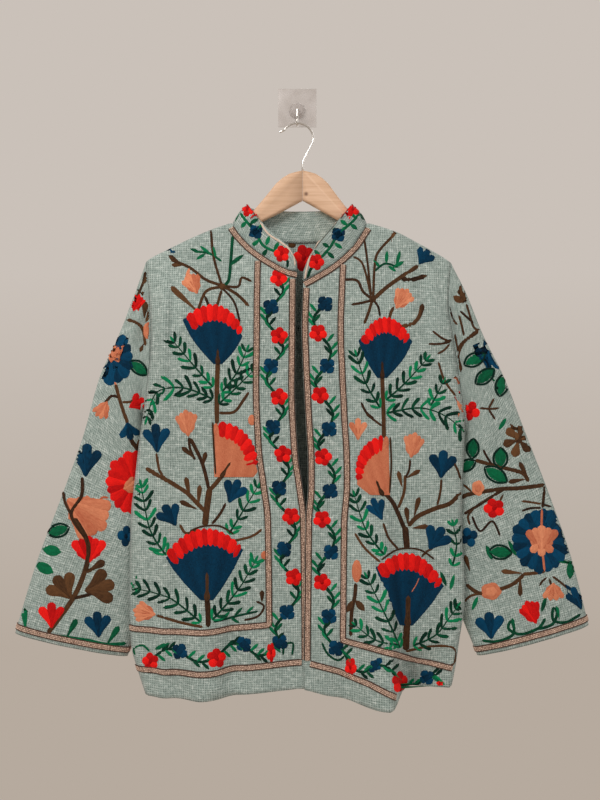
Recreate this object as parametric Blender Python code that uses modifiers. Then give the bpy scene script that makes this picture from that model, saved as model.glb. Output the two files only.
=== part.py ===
"""An embroidered, open-front cotton jacket on a wooden hanger, hung on a small clear wall hook.

Metres, +Z up. The wall is the plane y = 0 and the jacket's front faces -Y. The origin is the
middle of the wall plate's back face. Left and right are as seen from the front.
"""
from collections import namedtuple
from math import cos, pi, radians, sin, sqrt

import bmesh
import bpy
from mathutils import Vector

# Cloth, braid and seams
cloth_thick = 0.0016
braid_width = 0.0105
braid_thick = 0.0009
seam_gap = 0.0003
border_width = 0.053       # front edge braid to inner frame braid, middle to middle
hem_braid_rise = 0.040     # middle of the hem braid above the hem
frame_rise = 0.101         # middle of the level frame braid above the hem

# Depths of the hanging jacket
saddle_y = -0.022          # the shoulder seams, over the hanger
upward = 0.15              # how far the cloth's outer side is tilted to the sky at a shoulder
shoulder_roll = 0.0100     # how far the fronts roll forward off the hanger
back_roll = 0.0115         # how far the back rolls towards the wall
chest_depth = 0.031        # how much further forward the chest hangs
chest_reach = 0.150        # height over which it gets there
side_share = 0.43          # share of the chest depth left at the side
side_reach = 0.085         # how far in from the side the front rounds
side_seam_y = -0.0453      # where front and back meet below the armhole
back_turn = 0.085          # how far in from the side the back turns forward
lap_rise = 0.0030          # how far the right front's edge lies over the left's
lap_full_x = 0.030         # the lap is full up to here and gone at lap_end_x
lap_end_x = 0.080
front_roll_drop = 0.010    # height the fronts take to roll off the hanger
back_roll_drop = 0.008     # height the back takes to
chest_start = 0.030        # height above the shoulder from which the chest comes forward
turn_rise = 0.055          # height above the armpit over which the back's side turns forward
fold_fade = 0.030          # how far in from the side a fold reaches its depth
tuck_gap = 0.007           # the tucked part of the right front stays this far before the back

# Wall hook and hanger
plate_size = 0.060
plate_thick = 0.0022
boss_radius = 0.0135
boss_face = 0.0085         # radius of the boss's front face
boss_length = 0.0080
boss_z = -0.0050
wall_wire = 0.0032
wall_bend = 0.0052         # radius of the wall hook's lower bend
wall_tip_z = -0.0215
hook_wire = 0.0033
hanger_y = -0.022
hook_arc_radius = 0.0245
hook_arc_x, hook_arc_z = 0.0003, -0.0546
hook_bend = (0.0241, -0.0589)     # where the hook's arc turns into its straight shank
shank_foot_z = -0.0894            # where the shank turns down into the wood
hook_arc_end = (-0.0199, -0.0412)
hook_tip = (-0.0274, -0.0441)
hook_arc_steps = 16
wood_thick = 0.0120
wood_bevel = 0.0045
wood_top_x, wood_top_z = 0.0084, -0.1035
wood_rest_gap = 0.0009            # cloth above the wood, along the shoulder seams
wood_fade = 0.012                 # from the wood's own outline to the seam's
wood_lean, wood_lean_reach = 0.6, 0.15
wood_round_steps = 3
rim_skip = 0.001                  # edges this close to the hanger's middle stay sharp
merge_distance = 0.00001
foot_round, tip_round, root_round = 0.005, 0.002, 0.003
plate_round, boss_round = 0.0005, 0.0012
boss_round_angle = 40
wire_sides = 3
boss_sides = 32
half_turn_steps = 10

# Rows of each panel's grid, counted from its top edge, and the fronts' columns past the
# frame braid, as shares of the width left
arm_row = 9
frame_row = 17
hem_braid_row = 20
field_shares = (0.10, 0.19, 0.22, 0.34, 0.50, 0.67, 0.84, 1.0)
shoulder_drops = (0.0008, 0.0045)
upper_rows, middle_rows = 7, 8
back_columns = 18
drop_share = 0.12          # second row of a panel, as a share of the neck braid's drop
drop_limit = 0.019
slope_step = 0.004
neck_fade = 0.012
neck_margin = {"front": 0.002, "back": 0.004}
settle_rounds = 12

# Cloth outline of each front by height: centre-front edge and side
Outline = namedtuple("Outline", "z edge side")
left_outline = [
    Outline(-0.2445, -0.0010, -0.2307),
    Outline(-0.308, -0.0020, -0.2236),
    Outline(-0.369, -0.0025, -0.2206),
    Outline(-0.440, -0.0033, -0.2270),
    Outline(-0.503, -0.0010, -0.2360),
    Outline(-0.546, 0.0022, -0.2415),
    Outline(-0.585, 0.0080, -0.2460),
    Outline(-0.638, 0.0142, -0.2512),
    Outline(-0.753, 0.0160, -0.2530),
    Outline(-0.825, 0.0165, -0.2510),
    Outline(-0.873, 0.0165, -0.2385),
    Outline(-0.905, 0.0165, -0.2280),
]
right_outline = [
    Outline(-0.2465, 0.0110, 0.2350),
    Outline(-0.314, 0.0075, 0.2290),
    Outline(-0.347, 0.0065, 0.2330),
    Outline(-0.420, 0.0090, 0.2435),
    Outline(-0.497, 0.0130, 0.2530),
    Outline(-0.546, 0.0158, 0.2512),
    Outline(-0.585, 0.0162, 0.2490),
    Outline(-0.638, 0.0122, 0.2480),
    Outline(-0.753, 0.0110, 0.2530),
    Outline(-0.825, 0.0100, 0.2440),
    Outline(-0.873, 0.0105, 0.2365),
    Outline(-0.905, 0.0115, 0.2290),
]

# Top of each panel across its width: the neck seam, then the shoulder seam
Top = namedtuple("Top", "x z")
left_neck = [Top(0.000, -0.2655), Top(0.0125, -0.2620), Top(0.038, -0.2485),
             Top(0.067, -0.2275), Top(0.0885, -0.2045), Top(0.1015, -0.1860)]
right_neck = [Top(0.0105, -0.2795), Top(0.0215, -0.2735), Top(0.0545, -0.2520),
              Top(0.0835, -0.2245), Top(0.0990, -0.2020), Top(0.1090, -0.1860)]
left_shoulder = [Top(0.1015, -0.1860), Top(0.127, -0.1945), Top(0.164, -0.2100),
                 Top(0.204, -0.2295), Top(0.2228, -0.2390), Top(0.2307, -0.2445)]
right_shoulder = [Top(0.1090, -0.1860), Top(0.149, -0.1985), Top(0.188, -0.2185),
                  Top(0.2234, -0.2385), Top(0.2350, -0.2465)]
back_neck = [Top(-0.1015, -0.1860), Top(-0.085, -0.1975), Top(-0.045, -0.2085),
             Top(0.0035, -0.2115), Top(0.052, -0.2085), Top(0.092, -0.1975), Top(0.1090, -0.1860)]

# Hem height across each front, by distance from the middle, and the level of each armpit
left_hem = [Top(0.00, -0.8895), Top(0.08, -0.8985), Top(0.15, -0.9040), Top(0.235, -0.9030)]
right_hem = [Top(0.00, -0.8875), Top(0.05, -0.8985), Top(0.137, -0.9105), Top(0.16, -0.8950),
             Top(0.235, -0.8900)]
back_hem_z = -0.8940
armpit_z = {-1: -0.4660, 1: -0.4960}

# Soft folds of the fronts: where the ridge runs at top and hem, its reach on both sides,
# how far it stands forward, and the heights where it starts and is full
Fold = namedtuple("Fold", "x_top x_hem inner outer depth z_start z_full")
left_folds = [
    Fold(0.150, 0.140, 0.060, 0.040, 0.016, -0.62, -0.90),
    Fold(0.196, 0.200, 0.018, 0.020, 0.005, -0.25, -0.34),
    Fold(0.100, 0.098, 0.026, 0.026, -0.008, -0.66, -0.90),
]
right_folds = [
    Fold(0.120, 0.134, 0.080, 0.026, 0.040, -0.52, -0.91),
    Fold(0.060, 0.050, 0.030, 0.030, 0.006, -0.66, -0.90),
]
tuck_start_x, tuck_full_x = 0.146, 0.176   # right front's side part turns in near the hem
tuck_top_z, tuck_low_z, tuck_share = -0.800, -0.885, 0.75

# Sleeve stations: outer edge, inner edge, their depths, and half the sleeve's depth there
Station = namedtuple("Station", "t ox oz ix iz oy iy half")
left_sleeve = [
    Station(0.00, -0.2307, -0.2445, -0.2285, -0.466, -0.0220, -0.0450, 0.020),
    Station(0.10, -0.2520, -0.3050, -0.2390, -0.480, -0.0250, -0.0370, 0.021),
    Station(0.20, -0.2750, -0.3640, -0.2380, -0.503, -0.0270, -0.0290, 0.022),
    Station(0.32, -0.3020, -0.4230, -0.2280, -0.535, -0.0280, -0.0245, 0.020),
    Station(0.46, -0.3270, -0.5115, -0.2180, -0.585, -0.0275, -0.0225, 0.018),
    Station(0.62, -0.3600, -0.6040, -0.2150, -0.660, -0.0270, -0.0220, 0.017),
    Station(0.80, -0.4010, -0.7124, -0.2310, -0.755, -0.0270, -0.0225, 0.017),
    Station(1.00, -0.4318, -0.8150, -0.2628, -0.8510, -0.0280, -0.0240, 0.018),
]
right_sleeve = [
    Station(0.00, 0.2350, -0.2465, 0.2540, -0.496, -0.0220, -0.0450, 0.020),
    Station(0.10, 0.2590, -0.2960, 0.2590, -0.508, -0.0250, -0.0370, 0.021),
    Station(0.20, 0.2830, -0.3560, 0.2570, -0.525, -0.0270, -0.0290, 0.022),
    Station(0.32, 0.3170, -0.4250, 0.2460, -0.553, -0.0280, -0.0245, 0.020),
    Station(0.46, 0.3460, -0.5000, 0.2330, -0.600, -0.0275, -0.0225, 0.018),
    Station(0.62, 0.3830, -0.5950, 0.2270, -0.670, -0.0270, -0.0220, 0.017),
    Station(0.80, 0.4210, -0.7040, 0.2430, -0.755, -0.0270, -0.0225, 0.017),
    Station(1.00, 0.4460, -0.8025, 0.2788, -0.8500, -0.0280, -0.0240, 0.018),
]
sleeve_ring_count = 15
armhole_ease = 0.0014      # how much wider the armhole seam opens towards the armpit
armhole_ease_share = 0.8
armhole_blend = 0.42       # share of the sleeve over which the armhole's shape turns oval
cuff_strip = 0.0055        # cloth below the cuff braid

# Collar: share of its length, and its top edge, from the left tip round the back
CollarRow = namedtuple("CollarRow", "u x y z")
collar_top = [
    CollarRow(0.000, -0.0005, -0.0610, -0.2500),
    CollarRow(0.030, -0.0124, -0.0575, -0.2285),
    CollarRow(0.110, -0.0473, -0.0500, -0.1955),
    CollarRow(0.210, -0.0700, -0.0380, -0.1665),
    CollarRow(0.262, -0.0760, -0.0265, -0.1565),
    CollarRow(0.295, -0.0755, -0.0135, -0.1580),
    CollarRow(0.340, -0.0600, -0.0118, -0.1620),
    CollarRow(0.490, 0.0035, -0.0116, -0.1645),
    CollarRow(0.640, 0.0670, -0.0118, -0.1620),
    CollarRow(0.685, 0.0825, -0.0135, -0.1580),
    CollarRow(0.715, 0.0830, -0.0265, -0.1565),
    CollarRow(0.765, 0.0745, -0.0400, -0.1700),
    CollarRow(0.865, 0.0451, -0.0520, -0.2045),
    CollarRow(0.960, 0.0190, -0.0630, -0.2410),
    CollarRow(1.000, 0.0095, -0.0665, -0.2640),
]

neck_centre = Vector((0.0035, -0.036, -0.190))
collar_shares = (0.0, 0.15, 0.32, 0.50, 0.68, 0.82, 0.92, 1.0)   # along each front's neck seam
back_neck_shares = (0.025, 0.10, 0.24, 0.37, 0.50, 0.63, 0.76, 0.90, 0.975)
collar_levels = 4
collar_bulge = 0.003
collar_set = cloth_thick + 5 * seam_gap

# Hanger: outline of half the wood, from the middle out, by distance from the middle
WoodRow = namedtuple("WoodRow", "x top bottom")
wood_samples = (0.00015, 0.010, 0.020, 0.030, 0.040, 0.057, 0.075, 0.090, 0.106, 0.115, 0.128,
                0.150, 0.172, 0.192, 0.206, 0.212)
wood_rows = [
    WoodRow(0.0000, 0.0000, -0.0465),
    WoodRow(0.0200, -0.0050, -0.0575),
    WoodRow(0.0400, -0.0200, -0.0685),
    WoodRow(0.0570, -0.0420, -0.0775),
    WoodRow(0.0750, -0.0640, -0.0870),
    WoodRow(0.0840, -0.0770, -0.0920),
    WoodRow(0.0900, -0.0850, -0.0960),
    WoodRow(0.1060, -0.0930, -0.1070),
    WoodRow(0.1500, -0.1060, -0.1275),
    WoodRow(0.1900, -0.1270, -0.1470),
    WoodRow(0.2120, -0.1420, -0.1560),
]

colours = {
    "cloth": (0.36, 0.45, 0.42, 1),
    "braid": (0.48, 0.30, 0.22, 1),
    "wood": (0.58, 0.38, 0.24, 1),
    "metal": (0.62, 0.62, 0.62, 1),
    "clear": (0.72, 0.68, 0.65, 1),
}


def clear_scene():
    for obj in list(bpy.data.objects):
        bpy.data.objects.remove(obj, do_unlink=True)
    collection = bpy.data.collections.new("Embroidered jacket")
    bpy.context.scene.collection.children.link(collection)
    return collection


def make_material(name, roughness, metallic=0.0):
    material = bpy.data.materials.new(name)
    material.use_nodes = True
    shader = material.node_tree.nodes["Principled BSDF"]
    shader.inputs["Base Color"].default_value = colours[name]
    shader.inputs["Roughness"].default_value = roughness
    shader.inputs["Metallic"].default_value = metallic
    return material


# Smooth curves through table rows

def smoothstep(value, low, high):
    t = min(max((value - low) / (high - low), 0.0), 1.0)
    return t * t * (3 - 2 * t)


def quarter_round(t):
    t = min(max(t, 0.0), 1.0)
    return sqrt(1 - (1 - t) ** 2)


def through_rows(rows, key, value, at):
    """A smooth curve of column `value` over column `key`, without overshoot between rows."""
    pairs = sorted((getattr(row, key), getattr(row, value)) for row in rows)
    if at <= pairs[0][0]:
        return pairs[0][1]
    if at >= pairs[-1][0]:
        return pairs[-1][1]
    slopes = []
    for i, (k, v) in enumerate(pairs):
        before = (v - pairs[i - 1][1]) / (k - pairs[i - 1][0]) if i else None
        after = (pairs[i + 1][1] - v) / (pairs[i + 1][0] - k) if i + 1 < len(pairs) else None
        if before is None or after is None:
            slopes.append(after if before is None else before)
        elif before * after <= 0:
            slopes.append(0.0)
        else:
            slopes.append(2 * before * after / (before + after))
    i = max(j for j in range(len(pairs) - 1) if pairs[j][0] <= at)
    (k0, v0), (k1, v1) = pairs[i], pairs[i + 1]
    span = k1 - k0
    t = (at - k0) / span
    return ((2 * t ** 3 - 3 * t ** 2 + 1) * v0 + (t ** 3 - 2 * t ** 2 + t) * span * slopes[i]
            + (-2 * t ** 3 + 3 * t ** 2) * v1 + (t ** 3 - t ** 2) * span * slopes[i + 1])


def back_depth(side, below, inwards, z):
    """Depth of the back: a roll off the hanger, then flat, its side turned forward to the seam."""
    flat_y = saddle_y + seam_gap + back_roll
    arm = armpit_z[side]
    low = smoothstep(-z, -(arm + turn_rise), -arm)
    turn = low * (1 - smoothstep(inwards, 0.0, back_turn))
    y = saddle_y + seam_gap + back_roll * quarter_round(below / back_roll_drop)
    return y + (side_seam_y + seam_gap - flat_y) * turn


class Front:
    """One front panel: its outline, its depth at any place, and its grid of points."""

    def __init__(self, side):
        self.side = side
        self.outline = left_outline if side < 0 else right_outline
        self.neck = left_neck if side < 0 else right_neck
        self.shoulder = left_shoulder if side < 0 else right_shoulder
        self.hem = left_hem if side < 0 else right_hem
        self.folds = left_folds if side < 0 else right_folds

    def edge_x(self, z):
        return through_rows(self.outline, "z", "edge", z)

    def side_x(self, z):
        return through_rows(self.outline, "z", "side", z)

    def top_z(self, x):
        out = self.side * x
        rows = self.neck if out < self.neck[-1].x else self.shoulder
        return through_rows(rows, "x", "z", out)

    def hem_z(self, x):
        return through_rows(self.hem, "x", "z", self.side * x)

    def shoulder_line(self, x):
        """The shoulder seam's height, carried on in towards the middle above the neck."""
        out = self.side * x
        first, second = self.shoulder[0], self.shoulder[1]
        if out < first.x:
            return first.z + (first.x - out) * (first.z - second.z) / (second.x - first.x)
        return through_rows(self.shoulder, "x", "z", out)

    def depth(self, x, z):
        below = max(self.shoulder_line(x) - z, 0.0)
        inwards = max(self.side * (self.side_x(z) - x), 0.0)
        share = side_share + (1 - side_share) * quarter_round(inwards / side_reach)
        rolled = quarter_round(below / front_roll_drop)
        at_seam = smoothstep(0.0, -chest_start, chest_reach)
        y = saddle_y - shoulder_roll * rolled
        y -= chest_depth * share * smoothstep(below, -chest_start, chest_reach)
        y += chest_depth * share * at_seam * (1 - rolled)
        loose = quarter_round(inwards / fold_fade)
        for fold in self.folds:
            down = smoothstep(-z, -fold.z_start, -fold.z_full)
            ridge = fold.x_top + (fold.x_hem - fold.x_top) * down
            away = self.side * x - ridge
            reach = fold.outer if away > 0 else fold.inner
            y -= fold.depth * down * loose * cos(0.5 * pi * min(abs(away) / reach, 1.0)) ** 2
        if self.side > 0:
            tucked = smoothstep(x, tuck_start_x, tuck_full_x)
            tucked *= smoothstep(-z, -tuck_top_z, -tuck_low_z)
            behind = back_depth(self.side, below, inwards, z) - tuck_gap
            y += max(behind - y, 0.0) * loose * tucked * tuck_share
            y -= lap_rise * (1 - smoothstep(x, lap_full_x, lap_end_x))
        return y

    def point(self, x, z):
        return Vector((x, self.depth(x, z), z))

    def columns(self, z):
        """x of each column at one height: the edge braid, the border, the frame braid, the rest."""
        edge, side = self.edge_x(z), self.side_x(z)
        insets = (0, braid_width, 0.5 * (border_width + braid_width), border_width,
                  border_width + braid_width)
        start = edge + self.side * insets[-1]
        return ([edge + self.side * inset for inset in insets]
                + [start + (side - start) * share for share in field_shares])

    def top_point(self, column):
        z = self.shoulder[0].z
        for _ in range(settle_rounds):
            z = self.top_z(self.columns(z)[column])
        return z

    def neck_drop(self, x):
        """Height of the collar seam braid's lower edge below the panel's top edge."""
        out = self.side * x
        if out >= self.neck[-1].x:
            return shoulder_drops[1]
        slope = (self.top_z(x) - self.top_z(x - self.side * slope_step)) / slope_step
        return min(braid_width * sqrt(1 + slope * slope), drop_limit)

    def heights(self, column):
        top = self.top_point(column)
        x_top = self.columns(top)[column]
        arm = armpit_z[self.side]
        drop = self.neck_drop(x_top)
        first = top - drop
        hem_x = self.columns(self.hem[0].z)[column]
        hem = self.hem_z(hem_x)
        half = braid_width / 2
        frame_top = hem + frame_rise + half
        upper = [first + (arm - first) * i / upper_rows for i in range(upper_rows + 1)]
        middle = [arm + (frame_top - arm) * i / middle_rows for i in range(1, middle_rows + 1)]
        lower = [hem + frame_rise - half, hem + 0.5 * (frame_rise + hem_braid_rise),
                 hem + hem_braid_rise + half, hem + hem_braid_rise - half, hem]
        return [top, top - max(shoulder_drops[0], drop_share * drop)] + upper + middle + lower

    def grid(self):
        columns = []
        for column in range(len(self.columns(armpit_z[self.side]))):
            columns.append([self.point(self.columns(z)[column], z) for z in self.heights(column)])
        return [list(row) for row in zip(*columns)]


class Back:
    """The back panel, in the same rows as the fronts."""

    def __init__(self, fronts):
        self.fronts = fronts

    def top_z(self, x):
        if back_neck[0].x < x < back_neck[-1].x:
            return through_rows(back_neck, "x", "z", x)
        return self.fronts[-1 if x < 0 else 1].top_z(x)

    def shoulder_line(self, x):
        return min(front.shoulder_line(x) for front in self.fronts.values())

    def depth(self, x, z):
        left, right = (self.fronts[s].side_x(z) for s in (-1, 1))
        below = max(self.shoulder_line(x) - z, 0.0)
        return back_depth(-1 if x < 0 else 1, below, max(min(x - left, right - x), 0.0), z)

    def point(self, x, z):
        return Vector((x, self.depth(x, z), z))

    def x_at(self, share, z):
        left, right = (self.fronts[s].side_x(z) for s in (-1, 1))
        return left + (right - left) * share

    def heights(self, share):
        z = back_neck[0].z
        for _ in range(settle_rounds):
            z = self.top_z(self.x_at(share, z))
        x = self.x_at(share, z)
        arm = armpit_z[-1] + (armpit_z[1] - armpit_z[-1]) * share
        from_neck = min(x - back_neck[0].x, back_neck[-1].x - x)
        at_neck = smoothstep(from_neck, 0.0, neck_fade)
        drop = shoulder_drops[1] + (braid_width - shoulder_drops[1]) * at_neck
        half = braid_width / 2
        frame_top = back_hem_z + frame_rise + half
        first = z - drop
        upper = [first + (arm - first) * i / upper_rows for i in range(upper_rows + 1)]
        middle = [arm + (frame_top - arm) * i / middle_rows for i in range(1, middle_rows + 1)]
        rises = (frame_rise - half, 0.5 * (frame_rise + hem_braid_rise), hem_braid_rise + half,
                 hem_braid_rise - half, 0)
        lower = [back_hem_z + rise for rise in rises]
        return [z, z - shoulder_drops[0]] + upper + middle + lower

    def grid(self):
        shares = [i / back_columns for i in range(back_columns + 1)]
        columns = [[self.point(self.x_at(share, z), z) for z in self.heights(share)]
                   for share in shares]
        return [list(row) for row in zip(*columns)]


# Meshes from grids of points

def grid_form(rows, outside, closed=False):
    """A surface through a grid of points, its faces turned to the side that `outside` is on."""
    form = bmesh.new()
    verts = [[form.verts.new(point) for point in row] for row in rows]
    across = len(rows[0])
    for above, under in zip(verts, verts[1:]):
        for j in range(across if closed else across - 1):
            k = (j + 1) % across
            form.faces.new((above[j], under[j], under[k], above[k]))
    turn_out(form, outside)
    return form


def turn_out(form, outside):
    form.normal_update()
    if sum(face.normal.dot(outside(face.calc_center_median())) for face in form.faces) < 0:
        bmesh.ops.reverse_faces(form, faces=form.faces)
        form.normal_update()


def walled_object(collection, name, form, material, thick):
    mesh = bpy.data.meshes.new(name)
    form.to_mesh(mesh)
    form.free()
    mesh.shade_smooth()
    mesh.materials.append(material)
    obj = bpy.data.objects.new(name, mesh)
    collection.objects.link(obj)
    wall = obj.modifiers.new("Wall", "SOLIDIFY")
    wall.thickness = thick
    wall.offset = 1.0


def skin_over(rows, outside, rise, closed=False):
    """The grid's points moved out along its vertex normals."""
    form = grid_form(rows, outside, closed)
    form.verts.ensure_lookup_table()
    across = len(rows[0])
    points = [vert.co + vert.normal * rise for vert in form.verts]
    form.free()
    return [points[i * across:(i + 1) * across] for i in range(len(rows))]


def eased(rows, first=0, last=0, ahead=0, behind=0):
    """A patch of points drawn in by the seam gap at the sides that meet another braid."""
    rows = [[point.copy() for point in row] for row in rows]
    for above, under in zip(rows[0], rows[1]):
        above += (under - above).normalized() * seam_gap * first
    for above, under in zip(rows[-2], rows[-1]):
        under -= (under - above).normalized() * seam_gap * last
    for row in rows:
        row[0] += (row[1] - row[0]).normalized() * seam_gap * ahead
        row[-1] -= (row[-1] - row[-2]).normalized() * seam_gap * behind
    return rows


def front_pieces(collection, front, cloth, braid):
    word = "left" if front.side < 0 else "right"
    rows = front.grid()

    def forwards(point):
        return Vector((0, -1, upward))

    walled_object(collection, "front_" + word, grid_form(rows, forwards), cloth, cloth_thick)
    skin = skin_over(rows, forwards, cloth_thick + seam_gap)
    edge = eased([row[0:2] for row in skin[2:hem_braid_row + 2]], first=1)
    hem = eased([row[1:] for row in skin[hem_braid_row:hem_braid_row + 2]], ahead=1)
    neck = [row[:neck_columns(front)] for row in skin[0:3]]
    for name, patch in (("edge", edge), ("hem", hem), ("collar", neck)):
        form = grid_form(patch, forwards)
        walled_object(collection, "braid_%s_%s" % (name, word), form, braid, braid_thick)
    upright = eased([row[3:5] for row in skin[2:frame_row + 2]], first=1)
    level = [row[4:] for row in skin[frame_row:frame_row + 2]]
    frame = frame_form(upright, level, forwards)
    walled_object(collection, "braid_frame_" + word, frame, braid, braid_thick)
    return rows


def neck_columns(front):
    """How many columns of the front's grid end at the neck seam."""
    count = len(front.columns(armpit_z[front.side]))
    tops = [front.columns(front.top_point(column))[column] for column in range(count)]
    return sum(front.side * x < front.neck[-1].x - neck_margin["front"] for x in tops)


def frame_form(upright, level, outside):
    """The inner frame braid: a band down the front that turns the corner into the level band."""
    form = bmesh.new()
    verts = [[form.verts.new(point) for point in row] for row in upright]
    for above, under in zip(verts, verts[1:]):
        form.faces.new((above[0], under[0], under[1], above[1]))
    run = [[verts[row][1]] + [form.verts.new(point) for point in line[1:]]
           for row, line in zip((-2, -1), level)]
    for i in range(len(run[0]) - 1):
        form.faces.new((run[0][i], run[1][i], run[1][i + 1], run[0][i + 1]))
    turn_out(form, outside)
    return form


def back_pieces(collection, back, cloth, braid):
    rows = back.grid()

    def backwards(point):
        return Vector((0, 1, upward))

    walled_object(collection, "back", grid_form(rows, backwards), cloth, cloth_thick)
    skin = skin_over(rows, backwards, cloth_thick + seam_gap)
    margin = neck_margin["back"]
    inside = [j for j, point in enumerate(skin[0])
              if back_neck[0].x + margin < point.x < back_neck[-1].x - margin]
    patches = {"frame": skin[frame_row:frame_row + 2], "hem": skin[hem_braid_row:hem_braid_row + 2],
               "collar": [row[inside[0]:inside[-1] + 1] for row in skin[0:3]]}
    for name, patch in patches.items():
        form = grid_form(patch, backwards)
        walled_object(collection, "braid_%s_back" % name, form, braid, braid_thick)
    return rows


def sleeve_rings(side, front_rows, back_rows):
    """Rings from the armhole to the cuff. The first ring is the armhole of front and back."""
    stations = left_sleeve if side < 0 else right_sleeve
    front_edge = [row[-1] for row in front_rows[:arm_row + 1]]
    back_edge = [row[0 if side < 0 else -1] for row in back_rows[:arm_row + 1]]
    top = (front_edge[0] + back_edge[0]) / 2
    bottom = (front_edge[-1] + back_edge[-1]) / 2
    loop = [top] + front_edge[1:-1] + [bottom] + list(reversed(back_edge[1:-1]))
    count = len(loop)
    for j in range(count):
        down = min(j, count - j) / arm_row
        ease = armhole_ease * smoothstep(down, 0.0, armhole_ease_share)
        loop[j] = loop[j] + Vector((side * (seam_gap + ease), 0, 0))
    axis = loop[arm_row] - loop[0]
    shares = [(point - loop[0]).dot(axis) / axis.length_squared for point in loop]
    rests = [point - loop[0] - axis * share for point, share in zip(loop, shares)]
    rings = []
    for ring in range(sleeve_ring_count):
        t = ring / (sleeve_ring_count - 1)
        ox, oz, ix, iz, oy, iy, half = (through_rows(stations, "t", key, t)
                                        for key in Station._fields[1:])
        start, end = Vector((ox, oy, oz)), Vector((ix, iy, iz))
        if ring == 0:
            start, end = loop[0], loop[arm_row]
        blend = smoothstep(t, 0.0, armhole_blend)
        points = []
        for j in range(count):
            angle = 2 * pi * j / count
            along = shares[j] * (1 - blend) + (1 - cos(angle)) / 2 * blend
            oval = Vector((0, -half * sin(angle), 0))
            points.append(start + (end - start) * along + rests[j] * (1 - blend) + oval * blend)
        rings.append(points)
    near_cuff = []
    for rise in (cuff_strip + braid_width, cuff_strip):
        near_cuff.append([under + (above - under).normalized() * rise
                          for above, under in zip(*rings[-2:])])
    return rings[:-1] + near_cuff + [rings[-1]]


def sleeve_pieces(collection, side, front_rows, back_rows, cloth, braid):
    word = "left" if side < 0 else "right"
    rings = sleeve_rings(side, front_rows, back_rows)
    centres = [sum(ring, Vector()) / len(ring) for ring in rings]

    def outwards(point):
        return point - min(centres, key=lambda centre: (centre - point).length)

    form = grid_form(rings, outwards, closed=True)
    walled_object(collection, "sleeve_" + word, form, cloth, cloth_thick)
    skin = skin_over(rings, outwards, cloth_thick + 2 * seam_gap, closed=True)
    form = grid_form(skin[-3:-1], outwards, closed=True)
    walled_object(collection, "braid_cuff_" + word, form, braid, braid_thick)


def collar_base(fronts, back):
    """Points round the neck seam, from the left tip round the back to the right tip, set in."""
    runs = {}
    for side, front in fronts.items():
        outs = [front.neck[0].x + (front.neck[-1].x - front.neck[0].x) * share
                for share in collar_shares]
        outs[0] = side * front.edge_x(front.neck[0].z)
        runs[side] = [front.point(side * out, front.top_z(side * out)) for out in outs]
    width = back_neck[-1].x - back_neck[0].x
    behind = [back_neck[0].x + width * share for share in back_neck_shares]
    line = runs[-1] + [back.point(x, back.top_z(x)) for x in behind] + list(reversed(runs[1]))
    moved = []
    for i, point in enumerate(line):
        run = (line[min(i + 1, len(line) - 1)] - line[max(i - 1, 0)]).normalized()
        inward = neck_centre - point
        inward -= run * inward.dot(run)
        moved.append(point + inward.normalized() * collar_set)
    return moved


def collar_piece(collection, fronts, back, cloth):
    base = collar_base(fronts, back)
    lengths = [0.0]
    for before, after in zip(base, base[1:]):
        lengths.append(lengths[-1] + (after - before).length)
    tops = [Vector([through_rows(collar_top, "u", key, length / lengths[-1]) for key in ("x", "y", "z")])
            for length in lengths]
    rows = []
    for level in range(collar_levels + 1):
        share = level / collar_levels
        bulge = collar_bulge * sin(pi * share)
        rows.append([point.lerp(top, share) + (point - neck_centre).normalized() * bulge
                     for point, top in zip(base, tops)])
    form = grid_form(rows, lambda point: point - neck_centre)
    walled_object(collection, "collar", form, cloth, cloth_thick)


# Hanger and wall hook

def wood_arm(collection, front, wood):
    """Half of the hanger, cut from board to an outline, its edges rounded. Past the neck its
    top follows the shoulder seam."""
    side = front.side
    top, bottom = [], []
    for out in wood_samples:
        x = wood_top_x * (1 - wood_lean * smoothstep(out, 0.0, wood_lean_reach)) + side * out
        z = wood_top_z + through_rows(wood_rows, "x", "top", out)
        rest = front.shoulder_line(x) - wood_rest_gap
        on_seam = smoothstep(side * x, front.neck[-1].x, front.neck[-1].x + wood_fade)
        top.append((x, z + (rest - z) * on_seam))
        bottom.append((x, wood_top_z + through_rows(wood_rows, "x", "bottom", out)))
    name = "hanger_arm_" + ("left" if side < 0 else "right")
    curve = bpy.data.curves.new(name, "CURVE")
    curve.dimensions = "2D"
    curve.fill_mode = "BOTH"
    curve.extrude = wood_thick / 2
    line = curve.splines.new("POLY")
    outline = top + list(reversed(bottom))
    line.points.add(len(outline) - 1)
    for spot, (x, z) in zip(line.points, outline):
        spot.co = (x, z, 0, 1)
    line.use_cyclic_u = True
    flat = bpy.data.objects.new(name, curve)
    collection.objects.link(flat)
    flat.rotation_euler.x = pi / 2
    flat.location.y = hanger_y
    bpy.context.view_layer.update()
    depsgraph = bpy.context.evaluated_depsgraph_get()
    shape = bpy.data.meshes.new_from_object(flat.evaluated_get(depsgraph))
    form = bmesh.new()
    form.from_mesh(shape)
    bmesh.ops.remove_doubles(form, verts=form.verts, dist=merge_distance)
    bmesh.ops.dissolve_limit(form, angle_limit=radians(1), verts=form.verts, edges=form.edges)
    rims = [edge for edge in form.edges
            if abs(edge.verts[0].co.z - edge.verts[1].co.z) < seam_gap
            and any(abs(vert.co.x - wood_top_x) > rim_skip for vert in edge.verts)]
    bmesh.ops.bevel(form, geom=rims, offset=wood_bevel, segments=wood_round_steps, affect="EDGES",
                    profile=0.5)
    form.to_mesh(shape)
    form.free()
    shape.materials.append(wood)
    arm = bpy.data.objects.new(name, shape)
    arm.matrix_world = flat.matrix_world
    bpy.data.objects.remove(flat)
    collection.objects.link(arm)
    arm.name = name


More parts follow.
